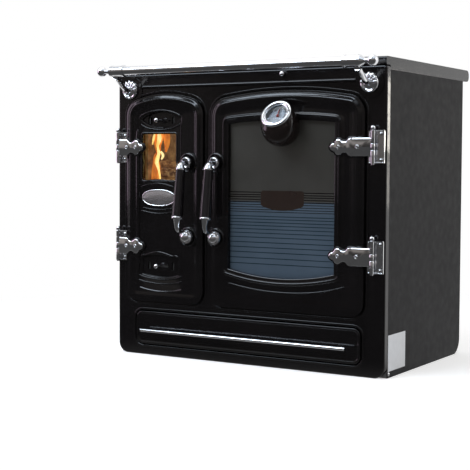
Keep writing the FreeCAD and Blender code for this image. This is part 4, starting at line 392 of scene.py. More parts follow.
def rope_paint():
    paint = Paint("rope")
    weave = paint.add("ShaderNodeTexWave", bands_direction="DIAGONAL",
                      inputs={"Vector": paint.where, "Scale": 190, "Distortion": 1.5,
                              "Detail": 2}).outputs["Fac"]
    paint.link(paint.ramp(weave, (0.2, (0.10, 0.10, 0.10)), (0.8, (0.34, 0.33, 0.31))), "Base Color")
    paint.link(paint.span(weave, 0.8, 0.95), "Roughness")
    return paint.bump((weave, 0.8, 0.001)).material


def plain_gloss(name, dark, light, low, high):
    paint = Paint(name)
    paint.link(paint.ramp(paint.noise(70, 4), (0.3, dark), (0.7, light)), "Base Color")
    paint.link(paint.span(paint.noise(200, 3), low, high), "Roughness")
    return paint.bump((paint.noise(900, 2), 0.06, 0.0001)).material


BADGE = badge_paint()
# Firebrick: its emission is wholly painted firelight; the brick itself does not glow.
FIRELIT_BRICK = glowing("firebrick", (0.20, 0.090, 0.026), (0.46, 0.27, 0.10), 0.36, 38)
ROPE = rope_paint()
WHITE = plain_gloss("white_dial", (0.42, 0.47, 0.53), (0.50, 0.55, 0.61), 0.25, 0.35)
RED = plain_gloss("red_needle", (0.30, 0.02, 0.015), (0.38, 0.03, 0.02), 0.3, 0.4)
LABEL = plain_gloss("side_label", (0.70, 0.71, 0.73), (0.74, 0.75, 0.77), 0.35, 0.5)

SLOT_PAINTS = {
    "black_enamel": BLACK, "black_sheet": SHEET, "grey_iron": GREY_IRON, "grey_steel": GREY_STEEL,
    "mild_steel": MILD_STEEL, "oven_enamel": OVEN_ENAMEL, "chromed_wire": WIRE,
    "firebrick": FIRELIT_BRICK, "chrome": CHROME, "screw_steel": SCREW, "badge_metal": BADGE,
    "black_grip": GRIP, "clear_glass": CLEAR, "dark_glass": DARK_GLASS, "white_dial": WHITE,
    "red_needle": RED, "rope": ROPE,
}
for entry in frame["record"]["subparts"]:
    for slot in NODES[entry["node"]].material_slots:
        # The oven pane gets an opaque coat with painted shade in place of the view into the oven.
        slot.material = SMOKED_AND_SHADED_PANE if entry["node"] == "oven_door_glass" else SLOT_PAINTS[entry["material_slot"]]


# ---- shape helpers ----

def at(x, out, z):
    return Vector((x / 1000, -(FACE + out) / 1000, z / 1000))


class Shell:
    """Rings of points and the faces between them."""

    def __init__(self):
        self.mesh = bmesh.new()

    def ring(self, points):
        return [self.mesh.verts.new(point) for point in points]

    def join(self, first, second):
        for i in range(len(first)):
            j = (i + 1) % len(first)
            self.mesh.faces.new((first[i], first[j], second[j], second[i]))

    def loft(self, loops):
        rings = [self.ring(points) for points in loops]
        for first, second in zip(rings, rings[1:]):
            self.join(first, second)
        return rings

    def cap(self, ring):
        self.mesh.faces.new(ring)

    def close(self, rings):
        self.cap(rings[0])
        self.cap(rings[-1])

    def fill(self, *rings):
        """A flat sheet inside the first ring, with the other rings as its holes."""
        edges = []
        for ring in rings:
            for i, vert in enumerate(ring):
                pair = (vert, ring[(i + 1) % len(ring)])
                edges.append(self.mesh.edges.get(pair) or self.mesh.edges.new(pair))
        bmesh.ops.triangle_fill(self.mesh, use_beauty=True, use_dissolve=False, edges=edges,
                                normal=(0, -1, 0))

    def piece(self, name, body, slot, material=None, stands_for=(), sharp=32):
        bmesh.ops.remove_doubles(self.mesh, verts=self.mesh.verts, dist=2e-6)
        bmesh.ops.recalc_face_normals(self.mesh, faces=self.mesh.faces)
        data = bpy.data.meshes.new(name)
        self.mesh.to_mesh(data)
        self.mesh.free()
        data.shade_smooth()
        data.set_sharp_from_angle(angle=math.radians(sharp))
        data.materials.append(material or SLOT_PAINTS[slot])
        thing = bpy.data.objects.new(name, data)
        bpy.context.scene.collection.objects.link(thing)
        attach(thing, body)
        if stands_for:
            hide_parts(*stands_for)


def sweep_arc(centre, radius, start, end, count):
    """Points on an arc, without its last one."""
    return [(centre[0] + radius * math.cos(start + (end - start) * i / count),
             centre[1] + radius * math.sin(start + (end - start) * i / count)) for i in range(count)]


def straight(first, last, count):
    return [(first[0] + (last[0] - first[0]) * i / count,
             first[1] + (last[1] - first[1]) * i / count) for i in range(count)]


def door_loop(left, right, arch, inset, low=160.0, top=769.0):
    """A door's outline, or a line a steady inset inside it."""
    a, b, y0, y1 = left + inset, right - inset, low + inset, top - inset
    r, q, big = max(38 - inset, 3), max(52 - inset, 4), arch - inset
    middle, half = (a + b) / 2, (b - a) / 2
    arch_y = y1 - big
    corner_y = arch_y + math.sqrt((big - q) ** 2 - (half - q) ** 2)
    turn = math.atan2(corner_y - arch_y, half - q)
    return (straight((a + r, y0), (b - r, y0), 20)
            + sweep_arc((b - r, y0 + r), r, -math.pi / 2, 0, 10)
            + straight((b, y0 + r), (b, corner_y), 24)
            + sweep_arc((b - q, corner_y), q, 0, turn, 10)
            + sweep_arc((middle, arch_y), big, turn, math.pi - turn, 36)
            + sweep_arc((a + q, corner_y), q, math.pi - turn, math.pi, 10)
            + straight((a, corner_y), (a, y0 + r), 24)
            + sweep_arc((a + r, y0 + r), r, math.pi, 1.5 * math.pi, 10))


def bowed_loop(grow, x0=-45.0, x1=288.0, y0=271.0, y1=679.0, upper=1560.0, lower=700.0):
    """The oven window's outline, grown."""
    middle, half = (x0 + x1) / 2, (x1 - x0) / 2
    top_y, low_y = y1 - math.sqrt(upper ** 2 - half ** 2), y0 + math.sqrt(lower ** 2 - half ** 2)
    up, down = math.acos(half / upper), math.acos(half / lower)
    g = max(grow, 0.01)
    return (sweep_arc((middle, low_y), lower + g, math.pi + down, 2 * math.pi - down, 36)
            + sweep_arc((x1, y0), g, 2 * math.pi - down, 2 * math.pi, 8)
            + straight((x1 + g, y0), (x1 + g, y1), 20)
            + sweep_arc((x1, y1), g, 0, up, 8)
            + sweep_arc((middle, top_y), upper + g, up, math.pi - up, 36)
            + sweep_arc((x0, y1), g, math.pi - up, math.pi, 8)
            + straight((x0 - g, y1), (x0 - g, y0), 20)
            + sweep_arc((x0, y0), g, math.pi, math.pi + down, 8))


def lens_loop(x, z, width, height, grow=0.0):
    """A pointed oval, grown."""
    half, rise = width / 2, height / 2
    radius = (half ** 2 + rise ** 2) / height
    down = radius - rise
    reach = radius + grow
    swing = math.acos(down / reach)
    quarter = math.pi / 2
    return (sweep_arc((x, z - down), reach, quarter - swing, quarter + swing, 28)
            + sweep_arc((x, z + down), reach, 3 * quarter - swing, 3 * quarter + swing, 28))


def rounded_loop(left, right, low, high, corner, grow=0.0):
    a, b, y0, y1, r = left - grow, right + grow, low - grow, high + grow, max(corner + grow, 0.5)
    return (straight((a + r, y0), (b - r, y0), 12) + sweep_arc((b - r, y0 + r), r, -math.pi / 2, 0, 8)
            + straight((b, y0 + r), (b, y1 - r), 12) + sweep_arc((b - r, y1 - r), r, 0, math.pi / 2, 8)
            + straight((b - r, y1), (a + r, y1), 12)
            + sweep_arc((a + r, y1 - r), r, math.pi / 2, math.pi, 8)
            + straight((a, y1 - r), (a, y0 + r), 12)
            + sweep_arc((a + r, y0 + r), r, math.pi, 1.5 * math.pi, 8))


def circle_loop(x, z, radius, count=40):
    return sweep_arc((x, z), radius, 0, 2 * math.pi, count)


def lifted(loop, out):
    return [at(x, out, z) for x, z in loop]


def curve_through(points, steps=8):
    """A smooth line through points in the plane of the front."""
    spots = [Vector(p) for p in points]
    ends = [2 * spots[0] - spots[1]] + spots + [2 * spots[-1] - spots[-2]]
    line = []
    for a, b, c, d in zip(ends, ends[1:], ends[2:], ends[3:]):
        for i in range(steps):
            t = i / steps
            line.append(0.5 * ((2 * b) + (c - a) * t + (2 * a - 5 * b + 4 * c - d) * t * t
                               + (3 * b - a - 3 * c + d) * t ** 3))
    line.append(spots[-1])
    return line


def bead(name, body, points, width, height, out, taper):
    """A raised line on the front: a low rounded rib that runs along the points."""
    line = curve_through(points)
    total = sum((b - a).length for a, b in zip(line, line[1:]))
    shell, rings, run = Shell(), [], 0.0
    for i, spot in enumerate(line):
        if i:
            run += (spot - line[i - 1]).length
        along = (line[min(i + 1, len(line) - 1)] - line[max(i - 1, 0)]).normalized()
        across = Vector((-along[1], along[0]))
        near = min(run, total - run)
        size = max(math.sqrt(max(0.0, 1 - (1 - min(near / taper, 1)) ** 2)), 0.03)
        section = []
        for k in range(9):
            turn = math.pi * k / 8
            side = math.cos(turn) * width / 2 * size
            rise = math.sin(turn) * height * size
            section.append(at(spot[0] + across[0] * side, out + rise, spot[1] + across[1] * side))
        for w in (-1, 1):
            side = w * width / 2 * size
            section.append(at(spot[0] + across[0] * side, out - 1.0, spot[1] + across[1] * side))
        rings.append(shell.ring(section))
    for a, b in zip(rings, rings[1:]):
        shell.join(a, b)
    shell.close(rings)
    shell.piece(name, body, "black_enamel")


def turned(shell, centre, axis, profile, count=48, caps=True):
    """A turned shape: rings of (radius, height) in mm along an axis."""
    axis = Vector(axis).normalized()
    side = axis.orthogonal().normalized()
    other = axis.cross(side)
    rings = shell.loft([[centre + (side * math.cos(t) + other * math.sin(t)) * (r / 1000) + axis * (h / 1000)
                         for t in [2 * math.pi * i / count for i in range(count)]] for r, h in profile])
    if caps:
        shell.close(rings)


def bar(shell, knots, steps=6, count=24, flat=1.0):
    """A bar through knots of (x, out, z, radius); flat thins it from front to back."""
    line = curve_through(knots, steps)
    spots = [at(*knot[:3]) for knot in line]
    side, rings = None, []
    for i, spot in enumerate(spots):
        along = (spots[min(i + 1, len(spots) - 1)] - spots[max(i - 1, 0)]).normalized()
        side = side or along.orthogonal()
        side = (side - along * side.dot(along)).normalized()
        other = along.cross(side)
        ring = []
        for k in range(count):
            turn = 2 * math.pi * k / count
            step = (side * math.cos(turn) + other * math.sin(turn)) * (line[i][3] / 1000)
            ring.append(spot + Vector((step[0], step[1] * flat, step[2])))
        rings.append(shell.ring(ring))
    for a, b in zip(rings, rings[1:]):
        shell.join(a, b)
    shell.close(rings)


def slab(shell, left, right, low, high, near, far, corner=0.6):
    """A flat plate on the front, from out near to out far."""
    rings = shell.loft([lifted(rounded_loop(left, right, low, high, corner), out) for out in (near, far)])
    shell.close(rings)


def blob(shell, centre, axes, count=18):
    """An egg shape: three half axes in mm, as vectors."""
    a, b, c = axes
    rings = []
    for i in range(1, 10):
        t = math.pi * i / 10
        around = [2 * math.pi * k / count for k in range(count)]
        swell = [(a * math.cos(u) + b * math.sin(u)) * math.sin(t) for u in around]
        rings.append(shell.ring([centre + (c * math.cos(t) + side) / 1000 for side in swell]))
    for first, second in zip(rings, rings[1:]):
        shell.join(first, second)
    shell.close(rings)


# ---- doors ----

FIRE = (-399.0, -131.0, 320.0)
OVEN = (-104.0, 376.0, 1190.0)
BACK = -4.5
GROOVE = [(4, BACK), (4, -0.9), (12, -0.9), (12, BACK)]
LEVELS = (613.0, 322.0)         # heights of the hinges
LATCH_Z, REST_Z = 569.0, 356.0  # heights of a handle's spindle and of its rest
FIRE_GRIP, OVEN_GRIP = -177.0, -83.0


def from_left(points):
    """Points measured from the casting's left edge."""
    return [(p[0] - HALF, p[1]) for p in points]


def boss(name, body, x, z, bore):
    """A ring boss that a handle or its rest sits in."""
    steps = [(10, 7), (29.4, 7), (29.3, 12), (28.5, 14.5), (26.9, 16.1), (25.2, 16.5), (23.8, 15.8),
             (22.8, 14), (22.3, 11.4), (21.2, 10.9)]
    shell = Shell()
    if bore:
        steps.append((6.4, 10.9))
    rings = shell.loft([lifted(circle_loop(x, z, r, 56), out) for r, out in steps])
    if not bore:
        shell.cap(rings[-1])
    shell.piece(name, body, "black_enamel")


def grow_loop(points, amount):
    """A closed outline moved outwards along its own normals."""
    area = sum(p[0] * q[1] - q[0] * p[1] for p, q in zip(points, points[1:] + points[:1]))
    turn = 1 if area > 0 else -1
    grown = []
    for before, spot, after in zip(points[-1:] + points[:-1], points, points[1:] + points[:1]):
        a = (Vector(spot) - Vector(before)).normalized()
        b = (Vector(after) - Vector(spot)).normalized()
        normal = Vector((a[1] + b[1], -a[0] - b[0])) * turn
        normal.normalize()
        lean = max(0.6, normal.dot(Vector((a[1], -a[0])) * turn))
        grown.append(Vector(spot) + normal * amount / lean)
    return grown


STRAP_HALF = [(0.0, 0.0), (0.9, 3.2), (3.2, 6.6), (7.0, 8.9), (11.5, 10.0), (14.5, 12.6), (17.0, 16.8),
              (21.0, 20.2), (26.0, 21.3), (31.0, 20.0), (35.0, 17.0), (39.5, 15.0), (44.5, 14.4),
              (49.0, 15.6), (52.5, 18.8), (56.0, 22.2), (61.0, 23.8), (67.0, 24.2)]
KNUCKLES = [(5.9, 0), (6.45, 0.5), (6.45, 16.0), (6.1, 16.6), (6.45, 17.2), (6.45, 33.4), (6.1, 34.0),
            (6.45, 34.6), (6.45, 50.1), (5.9, 50.6)]
SCREW_HEAD = [(4.6, 16.2), (5.5, 17.2), (5.5, 18.2), (5.0, 19.2), (4.1, 19.85), (3.3, 19.9), (2.7, 19.4),
              (2.4, 18.2), (2.0, 17.9)]


def strap_loop(start, tip, level):
    """The outline of a strap: a straight hinge end, a neck, two lobes and a pointed tip."""
    way = 1 if tip > start else -1
    length = abs(tip - start)
    half = [p for p in STRAP_HALF if p[0] < length - 6] + [(length, 24.2)]
    curve = curve_through(half, 4)
    side = [Vector((tip - way * p[0], p[1])) for p in curve]
    return ([Vector((p[0], level + p[1])) for p in side]
            + [Vector((p[0], level - p[1])) for p in reversed(side[1:])])


def strap(name, body, axis, tip, level, screws, stands_for=(), screws_for=()):
    """A polished strap with a crowned face, a rolled knuckle and two socket screws."""
    shell = Shell()
    shape = strap_loop(axis, tip, level)
    steps = [(0, 13.05), (0, 15.0), (-0.4, 15.7), (-1.0, 16.1), (-1.9, 16.5), (-3.5, 17.0)]
    rings = shell.loft([lifted(grow_loop(shape, g) if g else shape, out) for g, out in steps])
    shell.fill(rings[-1])
    shell.fill(rings[0])
    low = at(axis, 14, level - 25.3)
    turned(shell, low, (0, 0, 1), KNUCKLES, 28)
    shell.piece(name, body, "chrome", stands_for=stands_for)
    shell = Shell()
    for x in screws:
        turned(shell, at(x, 0, level), (0, -1, 0), SCREW_HEAD, 24)
    shell.piece(name + "_screws", body, "screw_steel", CHROME, stands_for=screws_for)


def strap_ground(name, body, start, tip, level):
    """The raised ground below a strap, a little larger than the strap itself."""
    shell = Shell()
    steps = [(5.4, 6.0), (5.2, 9.5), (4.6, 11.6), (3.4, 12.7), (2.2, 13.0), (-3, 13.0)]
    shape = strap_loop(start, tip, level)
    rings = shell.loft([lifted(grow_loop(shape, g), out) for g, out in steps])
    shell.fill(rings[-1])
    shell.piece(name, body, "black_enamel")


def vent_cuts(shell, front, out, x, z):
    """The knob's slot and an air slot each side of it, cut through a recessed ground."""
    slots = [rounded_loop(x - 26, x + 26, z - 3.5, z + 3.5, 3.4)]
    for middle in (x - 42, x + 42):
        slots.append(rounded_loop(middle - 4, middle + 4, z - 11.5, z + 11.5, 3.9))
    walls = [shell.loft([lifted(loop, out), lifted(loop, BACK)]) for loop in slots]
    shell.fill(front, *[wall[0] for wall in walls])
    return [wall[-1] for wall in walls]


def door_rim(shell, shape, steps):
    """The raised border of a door, which flattens out towards the door's lower edge."""
    rings = []
    for inset, out in [(0, BACK), (0, 7.0), (0.3, 7.6), (1.0, 7.85)] + steps:
        ring = []
        for x, z in door_loop(*shape, inset):
            share = min(max((z - 185) / 150, 0), 1)
            full = 0.3 + 0.7 * share * share * (3 - 2 * share)
            ring.append(at(x, 8 + (out - 8) * full if out > 8 else out, z))
        rings.append(ring)
    return shell.loft(rings)


def firebox_door():
    left, right, arch = FIRE
    shell = Shell()
    rings = door_rim(shell, FIRE, [(4.5, 8.1), (6.5, 8.8), (9, 10.1), (11.5, 11.4), (13.5, 12.4),
                                   (15.5, 13), (18, 13), (20.5, 12.4), (23.5, 11), (26, 9.4), (28, 8.3),
                                   (29.5, 8)])
    field = lambda g: bowed_loop(g, -349, -207, 203, 702, 149, 300)
    step = shell.loft([lifted(field(g), out) for g, out in
                       [(4.6, 8), (3.4, 7.8), (2.2, 7.1), (1.2, 6.3), (0, 6)]])
    bore = shell.loft([lifted(circle_loop(FIRE_GRIP, LATCH_Z, 6.1, 24), out) for out in (8, BACK)])
    shell.fill(rings[-1], step[0], bore[0])
    view = shell.loft([lifted(rounded_loop(-343, -225, 518, 652, 5, g), out) for g, out in
                       [(6.5, 6), (5.4, 7.0), (4, 7.7), (2.6, 7.6), (1.2, 6.8), (0.3, 5.4), (0, 4),
                        (0, BACK)]])
    brow = shell.loft([lifted(lens_loop(-279, 694, 134, 47, g), out) for g, out in
                       [(1.5, 6), (0.7, 5.4), (0, 4), (-0.9, 1.6), (-1.6, 0.6)]])
    low = shell.loft([lifted(bowed_loop(g, -341, -219, 243, 289, 240, 240), out) for g, out in
                      [(4, 6), (3, 5.5), (2, 4.4), (1, 2.2), (0.2, 0.6)]])
    shell.fill(step[-1], view[0], brow[0], low[0])
    holes = vent_cuts(shell, brow[-1], 0.6, -280, 692) + vent_cuts(shell, low[-1], 0.6, -280, 266)
    groove = shell.loft([lifted(door_loop(left, right, arch, d), out) for d, out in [(0, BACK)] + GROOVE])
    shell.fill(groove[-1], view[-1], bore[-1], *holes)
    shell.piece("firebox_door_face", "firebox_door", "black_enamel", stands_for=("firebox_door_casting",))
    boss("firebox_latch_boss", "firebox_door", FIRE_GRIP, LATCH_Z, True)
    boss("firebox_rest_boss", "firebox_door", FIRE_GRIP, REST_Z, False)
    lines = [
        ("side_strip", [(76, 212), (76, 330), (76, 470), (76, 600), (76, 668)], 15, 3.0, 7.6, 30),
        ("inner_edge", [(229.5, 246), (230, 330), (230, 480), (230, 640), (229.5, 690)], 4, 1.6, 7.6, 24),
        ("vent_brow", [(82, 698), (91, 707), (120, 717), (156, 721), (192, 717), (221, 707), (230, 698)],
         6.5, 3.2, 6.8, 12),
        ("vent_lip", [(86, 682), (100, 674), (120, 668), (156, 664.5), (192, 668), (212, 674), (226, 682)],
         5, 3.0, 5.6, 12),
        ("arc_high_a", [(86, 497), (110, 504), (146, 508), (182, 504), (206, 497)], 4.5, 2.2, 5.7, 12),
        ("arc_high_b", [(94, 511), (120, 517), (149, 519), (178, 517), (202, 511)], 4.0, 2.0, 5.7, 12),
        ("arc_low_a", [(92, 437), (120, 433), (149, 431.5), (178, 433), (204, 437)], 4.0, 2.0, 5.7, 12),
        ("arc_low_b", [(86, 428), (120, 422), (149, 420), (178, 422), (210, 428)], 4.5, 2.2, 5.7, 12),
        ("low_brow", [(84, 291), (92, 296), (104, 297), (120, 302), (147, 307), (176, 303), (198, 297),
                      (212, 298), (224, 292)], 6.0, 3.4, 5.6, 10),
        ("low_lip_a", [(74, 240.5), (96, 233), (120, 229), (154, 226.5), (190, 229), (214, 233),
                       (232, 240.5)], 4.5, 2.4, 6.2, 12),
        ("low_lip_b", [(72, 225), (96, 219), (120, 216), (155, 214), (190, 216), (214, 219), (234, 225)],
         4.5, 2.2, 6.8, 12),
    ]
    for name, points, width, height, out, taper in lines:
        bead("firebox_" + name, "firebox_door", from_left(points), width, height, out, taper)
    shell = Shell()
    oval = lambda g: [(-284 + (59 + g) * math.copysign(abs(math.cos(t)) ** 0.9, math.cos(t)),
                       466 + (25 + g) * math.copysign(abs(math.sin(t)) ** 0.9, math.sin(t)))
                      for t in [2 * math.pi * (i + 0.5) / 72 for i in range(72)]]
    rings = shell.loft([lifted(oval(g), out) for g, out in
                        [(0, 6.0), (0, 8.2), (-0.5, 9.0), (-1.5, 9.4), (-2.6, 9.2), (-3.3, 8.7),
                         (-4.0, 8.7), (-9, 9.3), (-15, 9.75), (-21, 9.95)]])
    shell.close(rings)
    shell.piece("badge_oval", "firebox_door", "badge_metal", stands_for=("badge_plate",))
    for index, level in enumerate(LEVELS):
        strap_ground("firebox_strap_ground_%d" % index, "firebox_door", -392.0, -335.0, level)
        strap("firebox_strap_%d" % index, "firebox_door", -426.0, -335.5, level, (-362.0, -394.1),
              *((("firebox_door_straps",), ("firebox_strap_screws",)) if index == 0 else ()))


def oven_door():
    left, right, arch = OVEN
    shell = Shell()
    rings = door_rim(shell, OVEN, [(6, 8.1), (8, 8.7), (11, 10.2), (14, 11.7), (16, 12.6), (18, 13),
                                   (21, 13), (25, 12.4), (30, 11.3), (35, 9.8), (40, 8.5), (44, 8)])
    window = [(21.5, 8), (20.2, 8.6), (18.8, 10), (17.2, 11.5), (15.6, 12.3), (13.6, 12.3), (12, 11.5),
              (10.8, 10.3), (9.8, 9.3), (8, 9), (4.5, 8.8), (1.8, 8.4), (0.6, 7.6), (0, 6), (0, BACK)]
    hole = shell.loft([lifted(bowed_loop(g), out) for g, out in window])
    shell.fill(rings[-1], hole[0])
    groove = shell.loft([lifted(door_loop(left, right, arch, d), out) for d, out in [(0, BACK)] + GROOVE])
    shell.fill(groove[-1], hole[-1])
    shell.piece("oven_door_face", "oven_door", "black_enamel", stands_for=("oven_door_casting",))
    boss("oven_latch_boss", "oven_door", OVEN_GRIP, LATCH_Z, True)
    boss("oven_rest_boss", "oven_door", OVEN_GRIP, REST_Z, False)
    lip = [(388, 231), (431, 223), (466, 218), (502, 214.5), (544, 212.5), (591, 212.5), (632, 215),
           (668, 219), (713, 227), (758, 240)]
    bead("oven_door_lip", "oven_door", from_left(lip), 5, 2.0, 7.8, 40)
    for index, level in enumerate(LEVELS):
        strap_ground("oven_strap_ground_%d" % index, "oven_door", 369.0, 276.0, level)
        strap("oven_strap_%d" % index, "oven_door", 403.0, 276.5, level, (303.0, 358.5),
              *((("oven_door_straps",), ("oven_strap_screws",)) if index == 0 else ()))


# ---- hinges, handles, thermometer, rail, drawer, fire ----

def hinge_leaves():
    """The fixed leaves: a raised frame round a sunk field, with a knuckle at each end."""
    shell = Shell()
    for hinge, left, right in ((-426.0, -432.4, -400.0), (403.0, 386.0, 432.0)):
        for level in LEVELS:
            steps = [(0, 2.6), (0, 5.9), (-0.6, 6.6), (-2.6, 6.6), (-3.4, 6.1), (-4.2, 5.1)]
            rings = shell.loft([lifted(rounded_loop(left, right, level - 43.5, level + 43.5, 1.6, g), out)
                                for g, out in steps])
            shell.close(rings)
            for low, high in ((level - 43.5, level - 26.0), (level + 26.0, level + 43.5)):
                length = high - low
                knuckle = [(5.9, 0), (6.45, 0.5), (6.45, length - 0.5), (5.9, length)]
                turned(shell, at(hinge, 14, low), (0, 0, 1), knuckle, 28)
                slab(shell, hinge - 4, hinge + 4, low + 0.3, high - 0.3, 5.5, 12)
    shell.piece("leaf_frames", "cooker", "chrome", stands_for=("hinge_leaves",))


FERRULE = [(12, -1.0), (16.3, -0.8), (17, 0.4), (17, 3.6), (16.4, 5.2), (15, 6), (9, 6.2)]
REST_KNOB = [(15, 8), (19.3, 11.5), (20.8, 15.5), (21, 19.5), (20.6, 23), (19.5, 26.2), (18.4, 28),
             (17.5, 28.2), (16.9, 27.5), (16.3, 28.2), (15.2, 31.4), (12.6, 35.2), (9, 38.2), (5, 40.2),
             (1.5, 40.9)]
EYE = [(9, 16.95), (15.2, 16.95), (16.6, 18), (17, 20), (17, 24.3), (16.4, 27), (15.1, 29), (13.6, 29.8),
       (12.2, 29.3), (11.4, 27.6), (11.1, 20.5), (9.6, 20.2), (4, 20.2)]


def handle(label, door, body, x):
    """A ringed eye with a curved neck above the grip, and a ferrule with a hook below it."""
    shell = Shell()
    turned(shell, at(x, 0, LATCH_Z), (0, -1, 0), EYE)
    bar(shell, [(x, 22, 567.5, 7.4), (x, 34, 567.4, 6.4), (x, 43, 566, 7.4), (x, 49.5, 560.8, 10.8),
                (x, 51.8, 553, 13.9), (x, 52.2, 549.2, 14.4), (x, 52.3, 548.4, 14.4)], 5, 32)
    top, low = at(x, 52, 549), at(x, 68, 415)
    along = (low - top).normalized()
    turned(shell, low, along, FERRULE)
    bar(shell, [(x, 68.3, 412, 11.6), (x, 69.8, 402, 9.4), (x, 70.6, 392, 7.2), (x, 67.5, 381, 6.3),
                (x, 59, 374.4, 6.2), (x, 49, 372.9, 6.2), (x, 42, 372.9, 6.0)], 6, 24)
    shell.piece(label + "_handle_metal", body, "chrome", stands_for=(label + "_handle_arms",))
    shell = Shell()
    turned(shell, at(x, 0, REST_Z), (0, -1, 0), REST_KNOB, 56)
    shell.piece(label + "_rest_knob", door, "chrome", stands_for=(label + "_handle_rest",))


BEZEL = [(33, 0), (44.2, 0), (45, 1), (44.9, 2.8), (43.9, 4.8), (41.8, 6.3), (39.2, 7), (36.8, 6.7),
         (35.1, 5.6), (34.3, 4.0), (33.6, 3.5), (33.0, 4.5), (32.2, 4.9), (31.4, 4.4), (31, 3.2), (31, 0),
         (33, 0)]


def thermometer():
    """A rolled bezel with a thin inner ring, a bowl that sags below it, and the dial's ticks."""
    shell = Shell()
    turned(shell, DIAL_CENTRE, DIAL_FACING, BEZEL, 72, caps=False)
    shell.piece("bezel_ring", "oven_door", "chrome", stands_for=("thermometer_bezel",))
    shell = Shell()
    profile = [(35.9, 11, 0), (35.9, 0.3, 0), (43, 0.4, 0), (45, 2.5, 0), (48, 7, 4), (50.5, 13, 7.5),
               (52.2, 21, 9.8), (53.5, 30, 11.4), (54, 39, 11.9)]
    profile += [(54 * math.cos(math.radians(7 * k)), 39 + 54 * math.sin(math.radians(7 * k)), 11.9)
                for k in range(1, 13)]
    turns = [2 * math.pi * i / 64 for i in range(64)]
    rings = shell.loft([
        [DIAL_CENTRE + (DIAL_RIGHT * r * math.cos(t) + DIAL_UP * (r * math.sin(t) - drop)
                        - DIAL_FACING * depth) / 1000 for t in turns]
        for r, depth, drop in profile])
    shell.close(rings)
    wall = -(FACE + 12) / 1000
    for vert in shell.mesh.verts:
        vert.co.y = min(vert.co.y, wall)
    shell.piece("bowl", "oven_door", "black_enamel", BOWL, stands_for=("thermometer_housing",))
    shell = Shell()

    def mark(angle, near, far, half):
        out = DIAL_RIGHT * math.sin(angle) + DIAL_UP * math.cos(angle)
        side = DIAL_RIGHT * math.cos(angle) - DIAL_UP * math.sin(angle)
        corners = ((near, -half), (near, half), (far, half), (far, -half))
        base = [DIAL_CENTRE + (out * r + side * w) / 1000 for r, w in corners]
        rings = [shell.ring([p + DIAL_FACING * (h / 1000) for p in base]) for h in (-9.0, -8.8)]
        shell.join(*rings)
        shell.close(rings)

    for index in range(25):
        angle = math.radians(-120 + 10 * index)
        mark(angle, 21.5 if index % 3 == 0 else 24.5, 28.5, 0.75 if index % 3 == 0 else 0.35)
    for index in range(80):
        mark(math.radians(-120 + 3 * (index + 0.5)), 28.9, 29.5, 0.80)
    shell.piece("dial_marks", "oven_door", "white_dial", PRINT_DARK)


ROSETTE = [(20, 2.65), (26, 2.65), (26, 7.2), (25.4, 9.4), (23.8, 11), (21.8, 11.5), (20.3, 10.8),
           (19.2, 9.0), (17.6, 8.6), (16.2, 9.6), (14.4, 11.2), (11, 11.9), (5, 12.2)]


def rail_bracket(side):
    """A half-round shell with a fan of petals above it and a curved arm up to the rail."""
    x, level = side * 387.5, 781.0
    shell = Shell()
    turned(shell, at(x, 0, level), (0, -1, 0), ROSETTE, 56)
    for index, length in enumerate((13, 15, 16.5, 17, 16.5, 15, 13)):
        turn = math.radians(8 + 27.3 * index)
        way = Vector((math.cos(turn), 0, math.sin(turn)))
        cross = Vector((-math.sin(turn), 0, math.cos(turn)))
        lift = Vector((0, -1, 0))
        blob(shell, at(x, 9.0, level) + way * 0.0155,
             (way * length * 0.82 + lift * 1.5, cross * 5.0, lift * 5.4))
        blob(shell, at(x, 12.0, level) + way * 0.0215, (way * 4.2, cross * 3.6, lift * 3.4), 14)
    bar(shell, [(x, 5, level + 2, 12.5), (x, 16, level + 2.2, 10.2), (x, 30, level + 4, 8.2),
                (x, 45, level + 12, 7.6), (x, 60, level + 24.5, 8.0), (x, 73, level + 33.5, 9.2),
                (x, 79.5, level + 36.0, 10.2)], 5, 24)
    return shell


def rail_brackets():
    for side, label in ((1, "right"), (-1, "left")):
        rail_bracket(side).piece("bracket_" + label, "cooker", "chrome",
                                 stands_for=("rail_brackets",) if side > 0 else ())


def drawer():
    """The drawer's front: a rolled border round a slightly sunk field."""
    shell = Shell()
    steps = [(0, -12), (0, 1.8), (-0.5, 2.9), (-1.5, 3.7), (-3.2, 4.0), (-5.2, 3.8), (-7.0, 3.0),
             (-8.6, 2.2), (-10, 2.0)]
    rings = shell.loft([lifted(rounded_loop(-367, 367, 33, 130, 22, g), out) for g, out in steps])
    shell.close(rings)
    shell.piece("drawer_face", "drawer", "black_enamel", stands_for=("drawer_front",))


def glass_print():
    """The printed bands of the oven window: close lines, a bare plaque and lines that spread downwards."""
    shell = Shell()
    slab(shell, -53.5, 296.5, 242.5, 463, -4.5, -4.42)
    shell.piece("print_ground", "oven_door", "dark_glass", PRINT_BLUE)
    shell = Shell()
    for level in (421, 413, 404, 395, 385, 374, 362, 348, 334, 320, 304, 288):
        slab(shell, -53, 296, level - 1.1, level + 1.1, -4.42, -4.36)
    shell.piece("print_lines", "oven_door", "dark_glass", PRINT_LINE)
    shell = Shell()
    for level in (488, 481, 475, 468, 461, 454, 447, 440, 433.5):
        half = 1.5 if level > 460 else 0.9
        slab(shell, -53, 296, level - half, level + half, -4.5, -4.38)
    shell.piece("print_close_lines", "oven_door", "dark_glass", PRINT_DARK)
    shell = Shell()
    x0, x1 = 54.0, 190.0
    lower = [(x0 + (x1 - x0) * i / 24, 453 - 15 * math.sin(math.pi * i / 24) ** 0.7) for i in range(25)]
    shape = lower + [(x1, 488), (x1 - 5, 493), (x0 + 5, 493), (x0, 488)]
    rings = shell.loft([lifted(shape, out) for out in (-4.44, -4.32)])
    shell.close(rings)
    shell.piece("print_plaque", "oven_door", "dark_glass", PRINT_BROWN)


